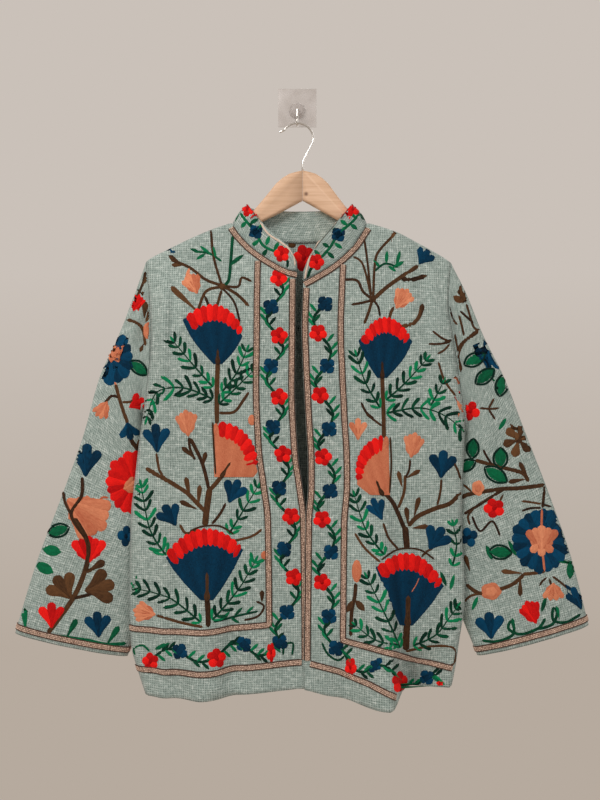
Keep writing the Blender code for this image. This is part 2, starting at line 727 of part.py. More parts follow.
def wire_object(collection, name, points, radius, material):
    curve = bpy.data.curves.new(name, "CURVE")
    curve.dimensions = "3D"
    curve.bevel_depth = radius
    curve.bevel_resolution = wire_sides
    curve.use_fill_caps = True
    line = curve.splines.new("POLY")
    line.points.add(len(points) - 1)
    for spot, point in zip(line.points, points):
        spot.co = (*point, 1)
    curve.materials.append(material)
    obj = bpy.data.objects.new(name, curve)
    collection.objects.link(obj)
    return obj


def rounded_path(corners, radius, steps=5):
    """A path through corner points in one plane, each inner corner rounded."""
    points = [corners[0]]
    for before, corner, after in zip(corners, corners[1:], corners[2:]):
        back_to, on_to = (before - corner).normalized(), (after - corner).normalized()
        reach = min(radius, 0.45 * (before - corner).length, 0.45 * (after - corner).length)
        first, last = corner + back_to * reach, corner + on_to * reach
        for i in range(steps + 1):
            t = i / steps
            points.append(first * (1 - t) ** 2 + corner * 2 * t * (1 - t) + last * t * t)
    return points + [corners[-1]]


def hanger_hook_points():
    """Up out of the wood, a slanting shank, an arc over the wall hook and a short turned-out tip."""
    def at(x, z):
        return Vector((x, hanger_y, z))

    first = Vector((hook_bend[0] - hook_arc_x, hook_bend[1] - hook_arc_z))
    last = Vector((hook_arc_end[0] - hook_arc_x, hook_arc_end[1] - hook_arc_z))
    start, stop = first.angle_signed(Vector((1, 0))), last.angle_signed(Vector((1, 0)))
    arc = []
    for i in range(hook_arc_steps + 1):
        angle = start + (stop - start) * i / hook_arc_steps
        arc.append(at(hook_arc_x + hook_arc_radius * cos(angle),
                      hook_arc_z + hook_arc_radius * sin(angle)))
    foot = [at(wood_top_x, wood_top_z + seam_gap), at(wood_top_x, shank_foot_z), arc[0], arc[1]]
    tip = [arc[-2], arc[-1], at(*hook_tip)]
    return rounded_path(foot, foot_round)[:-1] + arc[1:-1] + rounded_path(tip, tip_round)[1:]


def wall_hook_points():
    """A small hook out of the boss: forward, down, and up again in front of the hanger's hook."""
    seat_z = hook_arc_z + hook_arc_radius - hook_wire / 2 - seam_gap - wall_wire / 2
    bend_z = seat_z + wall_bend
    near, far = hanger_y + wall_bend, hanger_y - wall_bend
    root = [Vector((0, -(plate_thick + 2 * seam_gap + boss_length), boss_z)),
            Vector((0, near, boss_z)), Vector((0, near, bend_z))]
    turn = []
    for i in range(1, half_turn_steps):
        angle = pi * i / half_turn_steps
        turn.append(Vector((0, hanger_y + wall_bend * cos(angle), bend_z - wall_bend * sin(angle))))
    tip = [Vector((0, far, bend_z)), Vector((0, far, wall_tip_z))]
    return rounded_path(root, root_round) + turn + tip


def wall_hook_pieces(collection, clear, metal):
    bpy.ops.mesh.primitive_cube_add(size=1, location=(0, -plate_thick / 2, 0))
    plate = bpy.context.active_object
    plate.name = plate.data.name = "wall_plate"
    for vert in plate.data.vertices:
        vert.co.x *= plate_size
        vert.co.y *= plate_thick
        vert.co.z *= plate_size
    corners = plate.modifiers.new("Rounded corners", "BEVEL")
    corners.width = plate_round
    corners.segments = 2
    take(collection, plate, clear)
    middle = -plate_thick - seam_gap - boss_length / 2
    bpy.ops.mesh.primitive_cone_add(vertices=boss_sides, radius1=boss_radius, radius2=boss_face,
                                    depth=boss_length, location=(0, middle, boss_z),
                                    rotation=(pi / 2, 0, 0))
    boss = bpy.context.active_object
    boss.name = boss.data.name = "wall_boss"
    take(collection, boss, clear)
    rim = boss.modifiers.new("Rounded rim", "BEVEL")
    rim.width = boss_round
    rim.segments = 2
    rim.limit_method = "ANGLE"
    rim.angle_limit = radians(boss_round_angle)
    wire_object(collection, "wall_hook", wall_hook_points(), wall_wire / 2, metal)


def take(collection, obj, material):
    for other in list(obj.users_collection):
        other.objects.unlink(obj)
    collection.objects.link(obj)
    obj.data.materials.append(material)


def build():
    collection = clear_scene()
    cloth = make_material("cloth", 0.9)
    braid = make_material("braid", 0.85)
    wood = make_material("wood", 0.5)
    metal = make_material("metal", 0.25, 1.0)
    clear = make_material("clear", 0.15)
    fronts = {side: Front(side) for side in (-1, 1)}
    back = Back(fronts)
    front_rows = {side: front_pieces(collection, fronts[side], cloth, braid)
                  for side in (-1, 1)}
    back_rows = back_pieces(collection, back, cloth, braid)
    for side in (-1, 1):
        sleeve_pieces(collection, side, front_rows[side], back_rows, cloth, braid)
    collar_piece(collection, fronts, back, cloth)
    for side in (-1, 1):
        wood_arm(collection, fronts[side], wood)
    wire_object(collection, "hanger_hook", hanger_hook_points(), hook_wire / 2, metal)
    wall_hook_pieces(collection, clear, metal)


build()
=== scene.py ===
# An embroidered, open-front cotton jacket on a wooden hanger, hung on a clear wall hook. Metres, +Z
# up, the jacket's front faces -Y. Places of stitched motifs are given as seen by the camera, in
# picture units: 600 across and 800 down, about 1.5 mm each on the jacket.
import random
from collections import namedtuple
from math import atan2, cos, exp, hypot, pi, radians, sin, sqrt

import bmesh
import bpy
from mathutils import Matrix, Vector
from mathutils.bvhtree import BVHTree
from mathutils.interpolate import poly_3d_calc


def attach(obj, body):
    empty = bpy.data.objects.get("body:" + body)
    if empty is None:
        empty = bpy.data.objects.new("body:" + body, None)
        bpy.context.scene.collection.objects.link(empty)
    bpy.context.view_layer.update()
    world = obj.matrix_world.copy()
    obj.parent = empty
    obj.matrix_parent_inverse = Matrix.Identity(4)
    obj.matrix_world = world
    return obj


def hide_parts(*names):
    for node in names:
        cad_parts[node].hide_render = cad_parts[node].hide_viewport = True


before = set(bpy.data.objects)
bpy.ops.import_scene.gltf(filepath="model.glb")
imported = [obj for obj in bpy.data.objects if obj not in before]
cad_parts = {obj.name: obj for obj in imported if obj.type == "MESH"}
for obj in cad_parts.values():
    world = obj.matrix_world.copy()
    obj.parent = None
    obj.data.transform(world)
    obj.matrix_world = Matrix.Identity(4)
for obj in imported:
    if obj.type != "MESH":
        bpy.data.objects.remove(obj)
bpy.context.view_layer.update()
print("frame loaded")

# Camera, and the size of one picture unit on the plane it is measured at
eye = Vector((0.0042, -1.36, -0.4576))
lensLength = 39
pictureMiddle = (300, 400)
unitSize = 0.0015
unitDepth = 1.3
rearEye = Vector((0.0042, 1.29, -0.4576))

# Cloth and braid sizes, as cut
clothThick = 0.0016
braidWidth = 0.0105
seamGap = 0.0003
borderWidth = 0.053
hemBraidRise = 0.040
frameRise = 0.101
cuffStrip = 0.0055
edgeStart, frameStart = 0.012, 0.016    # how far below the neck seam these braids begin

# How the jacket hangs
saddleY = -0.022
shoulderRoll = 0.0100
backRoll = 0.0115
chestDepth = 0.031
chestReach = 0.150
sideShare = 0.43
sideReach = 0.085
sideSeamY = -0.0453
backTurn = 0.085
lapRise = 0.0030
lapFullX, lapEndX = 0.030, 0.080
frontRollDrop, backRollDrop = 0.010, 0.008
chestStart = 0.030
turnRise = 0.055
foldFade = 0.030
tuckGap = 0.007
backHemZ = -0.8940
armpitZ = {-1: -0.4660, 1: -0.4960}


# Shader expressions

# An output socket that takes part in sums and products.
class Wire:
    def __init__(self, shade, socket):
        self.shade = shade
        self.socket = socket

    def joined(self, operation, first, second=0.0):
        node = self.shade.add("ShaderNodeMath", {"operation": operation}, {0: first, 1: second})
        return Wire(self.shade, node.outputs[0])

    def __add__(self, other):
        return self.joined("ADD", self, other)

    def __radd__(self, other):
        return self.joined("ADD", other, self)

    def __sub__(self, other):
        return self.joined("SUBTRACT", self, other)

    def __rsub__(self, other):
        return self.joined("SUBTRACT", other, self)

    def __mul__(self, other):
        return self.joined("MULTIPLY", self, other)

    def __rmul__(self, other):
        return self.joined("MULTIPLY", other, self)

    def __truediv__(self, other):
        return self.joined("DIVIDE", self, other)

    def wave(self):
        return self.joined("SINE", self)

    def size(self):
        return self.joined("ABSOLUTE", self)

    def floor(self):
        return self.joined("FLOOR", self)

    # 0 below low, 1 above high, straight in between.
    def between(self, low, high):
        node = self.shade.add("ShaderNodeMapRange", {}, {0: self, 1: low, 2: high})
        return Wire(self.shade, node.outputs[0])


# One procedural material.
class Shade:
    def __init__(self, name, **constants):
        self.material = bpy.data.materials.new(name)
        self.material.use_nodes = True
        self.tree = self.material.node_tree
        self.shader = self.tree.nodes["Principled BSDF"]
        for key, value in constants.items():
            self.shader.inputs[key.replace("_", " ")].default_value = value

    def add(self, kind, settings, values):
        node = self.tree.nodes.new(kind)
        for key, value in settings.items():
            setattr(node, key, value)
        for key, value in values.items():
            if isinstance(value, Wire):
                self.tree.links.new(value.socket, node.inputs[key])
            else:
                node.inputs[key].default_value = value
        return node

    def placeOnCloth(self, uvName):
        node = self.add("ShaderNodeUVMap", {"uv_map": uvName}, {})
        parts = self.add("ShaderNodeSeparateXYZ", {}, {0: Wire(self, node.outputs[0])})
        return Wire(self, parts.outputs[0]), Wire(self, parts.outputs[1])

    def placeInSpace(self):
        node = self.add("ShaderNodeTexCoord", {}, {})
        parts = self.add("ShaderNodeSeparateXYZ", {}, {0: Wire(self, node.outputs["Object"])})
        return [Wire(self, output) for output in parts.outputs]

    def value(self, attribute):
        node = self.add("ShaderNodeAttribute", {"attribute_name": attribute}, {})
        return Wire(self, node.outputs["Fac"])

    def noise(self, x, y, z=0.0, detail=2.0):
        spot = self.add("ShaderNodeCombineXYZ", {}, {0: x, 1: y, 2: z})
        values = {"Vector": Wire(self, spot.outputs[0]), "Scale": 1.0, "Detail": detail}
        return Wire(self, self.add("ShaderNodeTexNoise", {}, values).outputs[0])

    def mixed(self, factor, first, second):
        node = self.add("ShaderNodeMix", {"data_type": "RGBA"}, {0: factor, 6: first, 7: second})
        return Wire(self, node.outputs[2])

    def feed(self, key, wire):
        self.tree.links.new(wire.socket, self.shader.inputs[key])

    def bump(self, height, strength, distance):
        node = self.add("ShaderNodeBump", {}, {"Height": height, "Strength": strength,
                                               "Distance": distance})
        self.tree.links.new(node.outputs[0], self.shader.inputs["Normal"])


# A colour as shown on screen, 0 to 255, turned into the renderer's own scale.
def fromScreen(red, green, blue):
    def turned(value):
        value /= 255
        return value / 12.92 if value <= 0.04045 else ((value + 0.055) / 1.055) ** 2.4
    return turned(red), turned(green), turned(blue), 1.0


clothLook = {
    "dark": fromScreen(72, 90, 85),
    "mid": fromScreen(156, 172, 167),
    "light": fromScreen(214, 223, 219),
    "meshPitch": 0.0034,
    "threadsPerMetre": 430,
    "slubsPerMetre": 110,
    "bumpStrength": 0.5,
    "bumpDistance": 0.0008,
}


def clothMaterial():
    shade = Shade("Slubby cotton", Roughness=0.93, Sheen_Weight=0.12, Sheen_Roughness=0.6)
    across, along = shade.placeOnCloth("weave")
    fine, long = clothLook["threadsPerMetre"], clothLook["slubsPerMetre"]
    warp = shade.noise(across * fine, along * long)
    weft = shade.noise(across * long, along * fine, 7.3)
    patchy = shade.noise(across * 9.0, along * 9.0, 2.1, 3.0)
    turns = pi / clothLook["meshPitch"]
    holes = ((across * turns + warp * 1.5).wave() * (along * turns + weft * 1.5).wave()).size()
    slubs = warp.between(0.50, 0.70) * 0.7 + weft.between(0.50, 0.70) * 0.7
    gaps = warp.between(0.50, 0.32) * 0.4 + weft.between(0.50, 0.32) * 0.4
    base = shade.mixed(patchy.between(0.3, 0.7) * 0.2, clothLook["mid"], clothLook["dark"])
    # The weave's holes are painted dark here: painted shade seen through the open weave. The gaps and
    # slubs are the threads' own uneven tone.
    shaded = shade.mixed(gaps * 0.55 + holes.between(0.3, 1.0) * 0.62, base, clothLook["dark"])
    threads = slubs.between(0.15, 1.2) * 0.75 * holes.between(1.1, 0.2)
    shade.feed("Base Color", shade.mixed(threads, shaded, clothLook["light"]))
    shade.bump(warp + weft - holes, clothLook["bumpStrength"], clothLook["bumpDistance"])
    return shade.material


yarnLooks = {
    "red": {"dark": fromScreen(150, 2, 8), "light": fromScreen(248, 30, 24)},
    "blue": {"dark": fromScreen(0, 22, 38), "light": fromScreen(0, 70, 106)},
    "green": {"dark": fromScreen(3, 34, 27), "light": fromScreen(8, 132, 84)},
    "brown": {"dark": fromScreen(36, 23, 16), "light": fromScreen(112, 76, 46)},
    "salmon": {"dark": fromScreen(168, 84, 58), "light": fromScreen(228, 150, 112)},
    "tan": {"dark": fromScreen(206, 186, 170), "light": fromScreen(226, 206, 190)},
}
stitchWidth = 0.0014
stitchLength = 0.0032


def yarnMaterial(name):
    look = yarnLooks[name]
    shade = Shade("Yarn " + name, Roughness=0.85, Specular_IOR_Level=0.12)
    across, along = shade.placeOnCloth("stitch")
    tone = shade.value("tone")
    row = across * (1 / stitchWidth)
    ridge = (row * pi).wave().size()
    link = ((along * (1 / stitchLength) + row.floor() * 0.5) * pi).wave().size()
    height = ridge * (0.55 + link * 0.45)
    mottled = shade.noise(across * 420.0, along * 160.0, tone * 40.0)
    # Besides the yarn's own tone and mottling, the raised rows and links are painted lighter (painted
    # highlight) and the grooves between them darker (painted shade).
    share = tone * 0.9 + (mottled - 0.5) * 0.6 + height * 0.24 - 0.14
    shade.feed("Base Color", shade.mixed(share.between(0.02, 0.98), look["dark"], look["light"]))
    shade.bump(height, 0.55, 0.0006)
    return shade.material


braidLook = {
    "dark": fromScreen(72, 48, 36),
    "tanDark": fromScreen(122, 94, 79),
    "tanLight": fromScreen(224, 194, 174),
}


def braidMaterial():
    shade = Shade("Braid wool", Roughness=0.85, Sheen_Weight=0.08)
    x, y, z = shade.placeInSpace()
    mottled = shade.noise(x * 700.0, z * 700.0, y * 700.0, 1.0)
    tan = shade.mixed(mottled.between(0.34, 0.66), braidLook["tanDark"], braidLook["tanLight"])
    shade.feed("Base Color", shade.mixed(shade.value("tone"), tan, braidLook["dark"]))
    return shade.material


woodLook = {
    "pale": fromScreen(214, 178, 148),
    "grain": fromScreen(194, 156, 124),
    "knot": fromScreen(96, 60, 40),
    "knotPlace": (0.0137, -0.1408),
    "knotSize": 0.0042,
}


def woodMaterial():
    shade = Shade("Pale wood", Roughness=0.55)
    x, y, z = shade.placeInSpace()
    rings = shade.noise(x * 14.0, y * 60.0, z * 240.0, 3.0)
    fine = shade.noise(x * 60.0, y * 300.0, z * 1400.0, 2.0)
    grain = rings.between(0.42, 0.68) * 0.7 + fine.between(0.45, 0.7) * 0.3
    wood = shade.mixed(grain, woodLook["pale"], woodLook["grain"])
    knotX, knotZ = woodLook["knotPlace"]
    right, up = x - knotX, z - knotZ
    squared = right * right + up * up
    away = squared.joined("POWER", squared, 0.5)
    knot = away.between(woodLook["knotSize"], 0.0012)
    shade.feed("Base Color", shade.mixed(knot * 0.85, wood, woodLook["knot"]))
    shade.bump(fine, 0.12, 0.0004)
    return shade.material


# A plain material, its colour mottled between two
def mottledMaterial(name, detail, dark, light, **constants):
    shade = Shade(name, **constants)
    x, y, z = shade.placeInSpace()
    mottled = shade.noise(x * detail, y * detail, z * detail)
    shade.feed("Base Color", shade.mixed(mottled.between(0.3, 0.7), dark, light))
    return shade.material


materials = {
    "cloth": clothMaterial(),
    "braid": braidMaterial(),
    "wood": woodMaterial(),
    "wire": mottledMaterial("Chromed wire", 300.0, fromScreen(196, 192, 188), fromScreen(226, 224, 220),
                            Metallic=1.0, Roughness=0.2),
    "clear": mottledMaterial("Clear plastic", 60.0, fromScreen(176, 168, 164), fromScreen(196, 190, 188),
                             Roughness=0.25, IOR=1.46, Alpha=0.42),
}
for colourName in yarnLooks:
    materials[colourName] = yarnMaterial(colourName)
yarnSlots = {name: "braid" if name == "tan" else "yarn_" + name for name in yarnLooks}
print("materials made")


# Outline of each front by height, and the tops and hems of the panels across them

Outline = namedtuple("Outline", "z edge side")
Top = namedtuple("Top", "x z")
Fold = namedtuple("Fold", "xTop xHem inner outer depth zStart zFull")
Station = namedtuple("Station", "t ox oz ix iz oy iy half")
CollarRow = namedtuple("CollarRow", "u x y z")


def rowsOf(kind, *rows):
    return [kind(*row) for row in rows]


frontCut = {
    -1: {
        "outline": rowsOf(Outline, (-0.2445, -0.001, -0.2307), (-0.308, -0.002, -0.2236),
            (-0.369, -0.0025, -0.2206), (-0.44, -0.0033, -0.227), (-0.503, -0.001, -0.236),
            (-0.546, 0.0022, -0.2415), (-0.585, 0.008, -0.246), (-0.638, 0.0142, -0.2512),
            (-0.753, 0.016, -0.253), (-0.825, 0.0165, -0.251), (-0.873, 0.0165, -0.2385),
            (-0.905, 0.0165, -0.228)),
        "neck": rowsOf(Top, (0, -0.2655), (0.0125, -0.262), (0.038, -0.2485), (0.067, -0.2275),
            (0.0885, -0.2045), (0.1015, -0.186)),
        "shoulder": rowsOf(Top, (0.1015, -0.186), (0.127, -0.1945), (0.164, -0.21), (0.204, -0.2295),
            (0.2228, -0.239), (0.2307, -0.2445)),
        "hem": rowsOf(Top, (0, -0.8895), (0.08, -0.8985), (0.15, -0.904), (0.235, -0.903)),
        "folds": rowsOf(Fold, (0.15, 0.14, 0.06, 0.04, 0.016, -0.62, -0.9),
            (0.196, 0.2, 0.018, 0.02, 0.005, -0.25, -0.34),
            (0.1, 0.098, 0.026, 0.026, -0.008, -0.66, -0.9)),
    },
    1: {
        "outline": rowsOf(Outline, (-0.2465, 0.011, 0.235), (-0.314, 0.0075, 0.229),
            (-0.347, 0.0065, 0.233), (-0.42, 0.009, 0.2435), (-0.497, 0.013, 0.253),
            (-0.546, 0.0158, 0.2512), (-0.585, 0.0162, 0.249), (-0.638, 0.0122, 0.248),
            (-0.753, 0.011, 0.253), (-0.825, 0.01, 0.244), (-0.873, 0.0105, 0.2365),
            (-0.905, 0.0115, 0.229)),
        "neck": rowsOf(Top, (0.0105, -0.2795), (0.0215, -0.2735), (0.0545, -0.252), (0.0835, -0.2245),
            (0.099, -0.202), (0.109, -0.186)),
        "shoulder": rowsOf(Top, (0.109, -0.186), (0.149, -0.1985), (0.188, -0.2185), (0.2234, -0.2385),
            (0.235, -0.2465)),
        "hem": rowsOf(Top, (0, -0.8875), (0.05, -0.8985), (0.137, -0.9105), (0.16, -0.895),
            (0.235, -0.89)),
        "folds": rowsOf(Fold, (0.12, 0.134, 0.08, 0.026, 0.04, -0.52, -0.91),
            (0.06, 0.05, 0.03, 0.03, 0.006, -0.66, -0.9)),
    },
}
tuck = {"startX": 0.146, "fullX": 0.176, "topZ": -0.800, "lowZ": -0.885, "share": 0.75}
backNeck = rowsOf(Top, (-0.1015, -0.186), (-0.085, -0.1975), (-0.045, -0.2085), (0.0035, -0.2115),
    (0.052, -0.2085), (0.092, -0.1975), (0.109, -0.186))
# Stations down a sleeve: outer and inner line across and up, and the depth that both sleeves share
sleeveDepth = [(0, -0.022, -0.045, 0.02), (0.1, -0.025, -0.037, 0.021), (0.2, -0.027, -0.029, 0.022),
    (0.32, -0.028, -0.0245, 0.02), (0.46, -0.0275, -0.0225, 0.018), (0.62, -0.027, -0.022, 0.017),
    (0.8, -0.027, -0.0225, 0.017), (1, -0.028, -0.024, 0.018)]
sleeveSides = {
    -1: [(-0.2307, -0.2445, -0.2285, -0.466), (-0.252, -0.305, -0.239, -0.48),
        (-0.275, -0.364, -0.238, -0.503), (-0.302, -0.423, -0.228, -0.535),
        (-0.327, -0.5115, -0.218, -0.585), (-0.36, -0.604, -0.215, -0.66),
        (-0.401, -0.7124, -0.231, -0.755), (-0.4318, -0.815, -0.2628, -0.851)],
    1: [(0.235, -0.2465, 0.254, -0.496), (0.259, -0.296, 0.259, -0.508), (0.283, -0.356, 0.257, -0.525),
        (0.317, -0.425, 0.246, -0.553), (0.346, -0.5, 0.233, -0.6), (0.383, -0.595, 0.227, -0.67),
        (0.421, -0.704, 0.243, -0.755), (0.446, -0.8025, 0.2788, -0.85)],
}
sleeveCut = {side: [Station(t, *place, oy, iy, half)
                    for place, (t, oy, iy, half) in zip(places, sleeveDepth)]
             for side, places in sleeveSides.items()}
collarTop = rowsOf(CollarRow, (0, -0.0005, -0.061, -0.25), (0.03, -0.0124, -0.0575, -0.2285),
    (0.11, -0.0473, -0.05, -0.1955), (0.21, -0.07, -0.038, -0.1665), (0.262, -0.076, -0.0265, -0.1565),
    (0.295, -0.0755, -0.0135, -0.158), (0.34, -0.06, -0.0118, -0.162), (0.49, 0.0035, -0.0116, -0.1645),
    (0.64, 0.067, -0.0118, -0.162), (0.685, 0.0825, -0.0135, -0.158), (0.715, 0.083, -0.0265, -0.1565),
    (0.765, 0.0745, -0.04, -0.17), (0.865, 0.0451, -0.052, -0.2045), (0.96, 0.019, -0.063, -0.241),
    (1, 0.0095, -0.0665, -0.264))
neckCentre = Vector((0.0035, -0.036, -0.190))


def spread(low, high, count):
    return [low + (high - low) * i / count for i in range(count + 1)]


def smoothstep(value, low, high):
    t = min(max((value - low) / (high - low), 0.0), 1.0)
    return t * t * (3 - 2 * t)


# How far along a line each of its points is
def lengthsAlong(points):
    lengths = [0.0]
    for before, after in zip(points, points[1:]):
        lengths.append(lengths[-1] + (after - before).length)
    return lengths


def quarterRound(t):
    t = min(max(t, 0.0), 1.0)
    return sqrt(1 - (1 - t) ** 2)


# A smooth curve of column `value` over column `key`, without overshoot between rows.
def throughRows(rows, key, value, at):
    pairs = sorted((getattr(row, key), getattr(row, value)) for row in rows)
    if at <= pairs[0][0]:
        return pairs[0][1]
    if at >= pairs[-1][0]:
        return pairs[-1][1]
    slopes = []
    for i, (k, v) in enumerate(pairs):
        before = (v - pairs[i - 1][1]) / (k - pairs[i - 1][0]) if i else None
        after = (pairs[i + 1][1] - v) / (pairs[i + 1][0] - k) if i + 1 < len(pairs) else None
        if before is None or after is None:
            slopes.append(after if before is None else before)
        elif before * after <= 0:
            slopes.append(0.0)
        else:
            slopes.append(2 * before * after / (before + after))
    i = max(j for j in range(len(pairs) - 1) if pairs[j][0] <= at)
    (k0, v0), (k1, v1) = pairs[i], pairs[i + 1]
    span = k1 - k0
    t = (at - k0) / span
    return ((2 * t ** 3 - 3 * t ** 2 + 1) * v0 + (t ** 3 - 2 * t ** 2 + t) * span * slopes[i]
            + (-2 * t ** 3 + 3 * t ** 2) * v1 + (t ** 3 - t ** 2) * span * slopes[i + 1])


def backDepth(side, below, inwards, z):
    flatY = saddleY + seamGap + backRoll
    arm = armpitZ[side]
    turn = smoothstep(-z, -(arm + turnRise), -arm) * (1 - smoothstep(inwards, 0.0, backTurn))
    y = saddleY + seamGap + backRoll * quarterRound(below / backRollDrop)
    return y + (sideSeamY + seamGap - flatY) * turn


# What both kinds of panel share
class Panel:
    def xAt(self, share, z):
        start, end = self.span(z)
        return start + (end - start) * share

    def point(self, x, z):
        return Vector((x, self.depth(x, z), z))


# One front panel: its outline and its depth at any place.
class Front(Panel):
    def __init__(self, side):
        self.side = side
        self.cut = frontCut[side]

    def edgeX(self, z):
        return throughRows(self.cut["outline"], "z", "edge", z)

    def sideX(self, z):
        return throughRows(self.cut["outline"], "z", "side", z)

    def topZ(self, x):
        out = self.side * x
        rows = self.cut["neck"] if out < self.cut["neck"][-1].x else self.cut["shoulder"]
        return throughRows(rows, "x", "z", out)

    def hemZ(self, x):
        return throughRows(self.cut["hem"], "x", "z", self.side * x)

    def shoulderLine(self, x):
        out = self.side * x
        first, second = self.cut["shoulder"][:2]
        if out < first.x:
            return first.z + (first.x - out) * (first.z - second.z) / (second.x - first.x)
        return throughRows(self.cut["shoulder"], "x", "z", out)

    def depth(self, x, z):
        below = max(self.shoulderLine(x) - z, 0.0)
        inwards = max(self.side * (self.sideX(z) - x), 0.0)
        share = sideShare + (1 - sideShare) * quarterRound(inwards / sideReach)
        rolled = quarterRound(below / frontRollDrop)
        y = saddleY - shoulderRoll * rolled
        y -= chestDepth * share * smoothstep(below, -chestStart, chestReach)
        y += chestDepth * share * smoothstep(0.0, -chestStart, chestReach) * (1 - rolled)
        loose = quarterRound(inwards / foldFade)
        for fold in self.cut["folds"]:
            down = smoothstep(-z, -fold.zStart, -fold.zFull)
            ridge = fold.xTop + (fold.xHem - fold.xTop) * down
            away = self.side * x - ridge
            reach = fold.outer if away > 0 else fold.inner
            y -= fold.depth * down * loose * cos(0.5 * pi * min(abs(away) / reach, 1.0)) ** 2
        if self.side > 0:
            tucked = smoothstep(x, tuck["startX"], tuck["fullX"])
            tucked *= smoothstep(-z, -tuck["topZ"], -tuck["lowZ"])
            behind = backDepth(self.side, below, inwards, z) - tuckGap
            y += max(behind - y, 0.0) * loose * tucked * tuck["share"]
            y -= lapRise * (1 - smoothstep(x, lapFullX, lapEndX))
        return y

    def span(self, z):
        return self.edgeX(z), self.sideX(z)


# The back panel, between the fronts' side lines.
class Back(Panel):
    def __init__(self, fronts):
        self.fronts = fronts

    def topZ(self, x):
        if backNeck[0].x < x < backNeck[-1].x:
            return throughRows(backNeck, "x", "z", x)
        return self.fronts[-1 if x < 0 else 1].topZ(x)

    def hemZ(self, x):
        return backHemZ

    def depth(self, x, z):
        left, right = self.span(z)
        line = min(front.shoulderLine(x) for front in self.fronts.values())
        below = max(line - z, 0.0)
        return backDepth(-1 if x < 0 else 1, below, max(min(x - left, right - x), 0.0), z)

    def span(self, z):
        return self.fronts[-1].sideX(z), self.fronts[1].sideX(z)


fronts = {side: Front(side) for side in (-1, 1)}
back = Back(fronts)


# Creases, seen by the camera: how wide to each side, how far forward, and a line of places

creases = {
    "front_left": [(4.5, 0.0042, (163, 262), (165, 300), (164, 345), (163, 400)), (3.5, -0.003,
        (170, 268), (172, 300), (172, 345)), (6, 0.0024, (155, 300), (150, 345), (148, 395)), (11,
        0.0012, (212, 245), (232, 300), (240, 360)), (6, -0.0022, (146, 420), (150, 480), (147, 540)),
        (16, -0.0014, (200, 380), (196, 440), (206, 520)), (13, 0.0024, (170, 560), (178, 620),
        (176, 690)), (6, -0.0034, (146, 660), (160, 676), (176, 690)), (4, 0.0042, (208, 682),
        (224, 689), (242, 690)), (4, -0.0036, (206, 694), (224, 699), (240, 697)), (9, -0.0018,
        (256, 690), (262, 640), (260, 590))],
    "front_right": [(4.5, 0.0034, (408, 256), (411, 300), (409, 348)), (5, -0.0028, (424, 262),
        (426, 300), (424, 350)), (3.5, -0.0026, (441, 266), (443, 290), (446, 315)), (5, 0.0036,
        (447, 372), (455, 400), (462, 428)), (6.5, -0.0026, (432, 380), (440, 410), (450, 440)), (12,
        0.0012, (362, 300), (368, 380), (366, 450)), (12, -0.0024, (372, 560), (366, 630), (352, 686)),
        (9, 0.0026, (392, 560), (394, 640), (396, 706)), (7, -0.003, (446, 560), (444, 620),
        (440, 672)), (3.5, 0.002, (452, 590), (450, 640), (447, 670)), (5, -0.002, (322, 690),
        (346, 694), (370, 704))],
    "back": [(7, 0.003, (176, 268), (182, 340), (176, 430)), (8, 0.0034, (404, 262), (412, 350),
        (418, 440)), (16, 0.0018, (270, 240), (290, 330), (286, 460)), (14, -0.002, (330, 240),
        (322, 360), (332, 520)), (13, -0.0026, (210, 500), (204, 600), (214, 690)), (10, 0.003,
        (250, 560), (246, 630), (248, 690)), (14, 0.003, (372, 520), (384, 610), (380, 690)), (9,
        -0.0026, (420, 560), (414, 630), (420, 690)), (7, -0.0022, (150, 440), (158, 500), (152, 560))],
    "sleeve_left": [(5, 0.004, (142, 292), (134, 322), (119, 352)), (5.5, -0.0046, (146, 300),
        (143, 328), (138, 362)), (8, -0.0022, (120, 322), (106, 372), (92, 430)), (8, 0.003, (132, 380),
        (122, 440), (108, 500)), (5, -0.0028, (142, 400), (136, 450), (132, 500)), (8, -0.003,
        (102, 480), (88, 550), (66, 620)), (9, 0.003, (124, 520), (114, 580), (96, 640)), (8, 0.0024,
        (76, 500), (60, 550), (42, 600))],
    "sleeve_right": [(4.5, -0.0042, (452, 280), (458, 330), (462, 372)), (6, 0.0032, (462, 296),
        (472, 350), (478, 400)), (6, -0.0034, (466, 400), (472, 450), (470, 500)), (8, 0.0026,
        (486, 400), (494, 460), (500, 520)), (8, -0.0024, (512, 440), (524, 500), (544, 560)), (7,
        0.0034, (478, 520), (488, 580), (500, 636)), (7, -0.0034, (508, 560), (520, 600), (534, 634)),
        (8, 0.0022, (546, 520), (562, 570), (574, 612))],
    "sleeve_left_rear": [(7, 0.0036, (140, 300), (128, 350), (116, 400)), (8, -0.0034, (128, 400),
        (112, 470), (100, 540)), (8, 0.003, (110, 520), (96, 580), (84, 640)), (7, -0.0024, (86, 470),
        (70, 530), (50, 600))],
    "sleeve_right_rear": [(7, 0.0036, (458, 300), (470, 350), (478, 400)), (8, -0.0034, (480, 400),
        (492, 470), (500, 540)), (8, 0.003, (504, 520), (516, 580), (522, 630)), (7, -0.0024,
        (520, 470), (540, 530), (562, 590))],
}


# Where a place on the jacket's front is seen, in picture units, at the depth of the units.
def pictureFlat(x, z):
    return (pictureMiddle[0] + (x - eye.x) / unitSize, pictureMiddle[1] - (z - eye.z) / unitSize)


# How far a place is moved forward by the creases near it.
def creaseAt(name, px, py):
    rise = 0.0
    for reach, height, *line in creases[name]:
        if not line[0][1] - 3 * reach < py < line[-1][1] + 3 * reach:
            continue
        best = None
        for i, (start, end) in enumerate(zip(line, line[1:])):
            dx, dy = end[0] - start[0], end[1] - start[1]
            t = ((px - start[0]) * dx + (py - start[1]) * dy) / (dx * dx + dy * dy)
            t = min(max(t, 0.0), 1.0)
            away = hypot(px - start[0] - dx * t, py - start[1] - dy * t)
            if best is None or away < best[0]:
                best = (away, (i + t) / (len(line) - 1))
        away, share = best
        rise += height * exp(-(away / reach) ** 2) * sin(pi * (0.08 + 0.84 * share))
    return rise


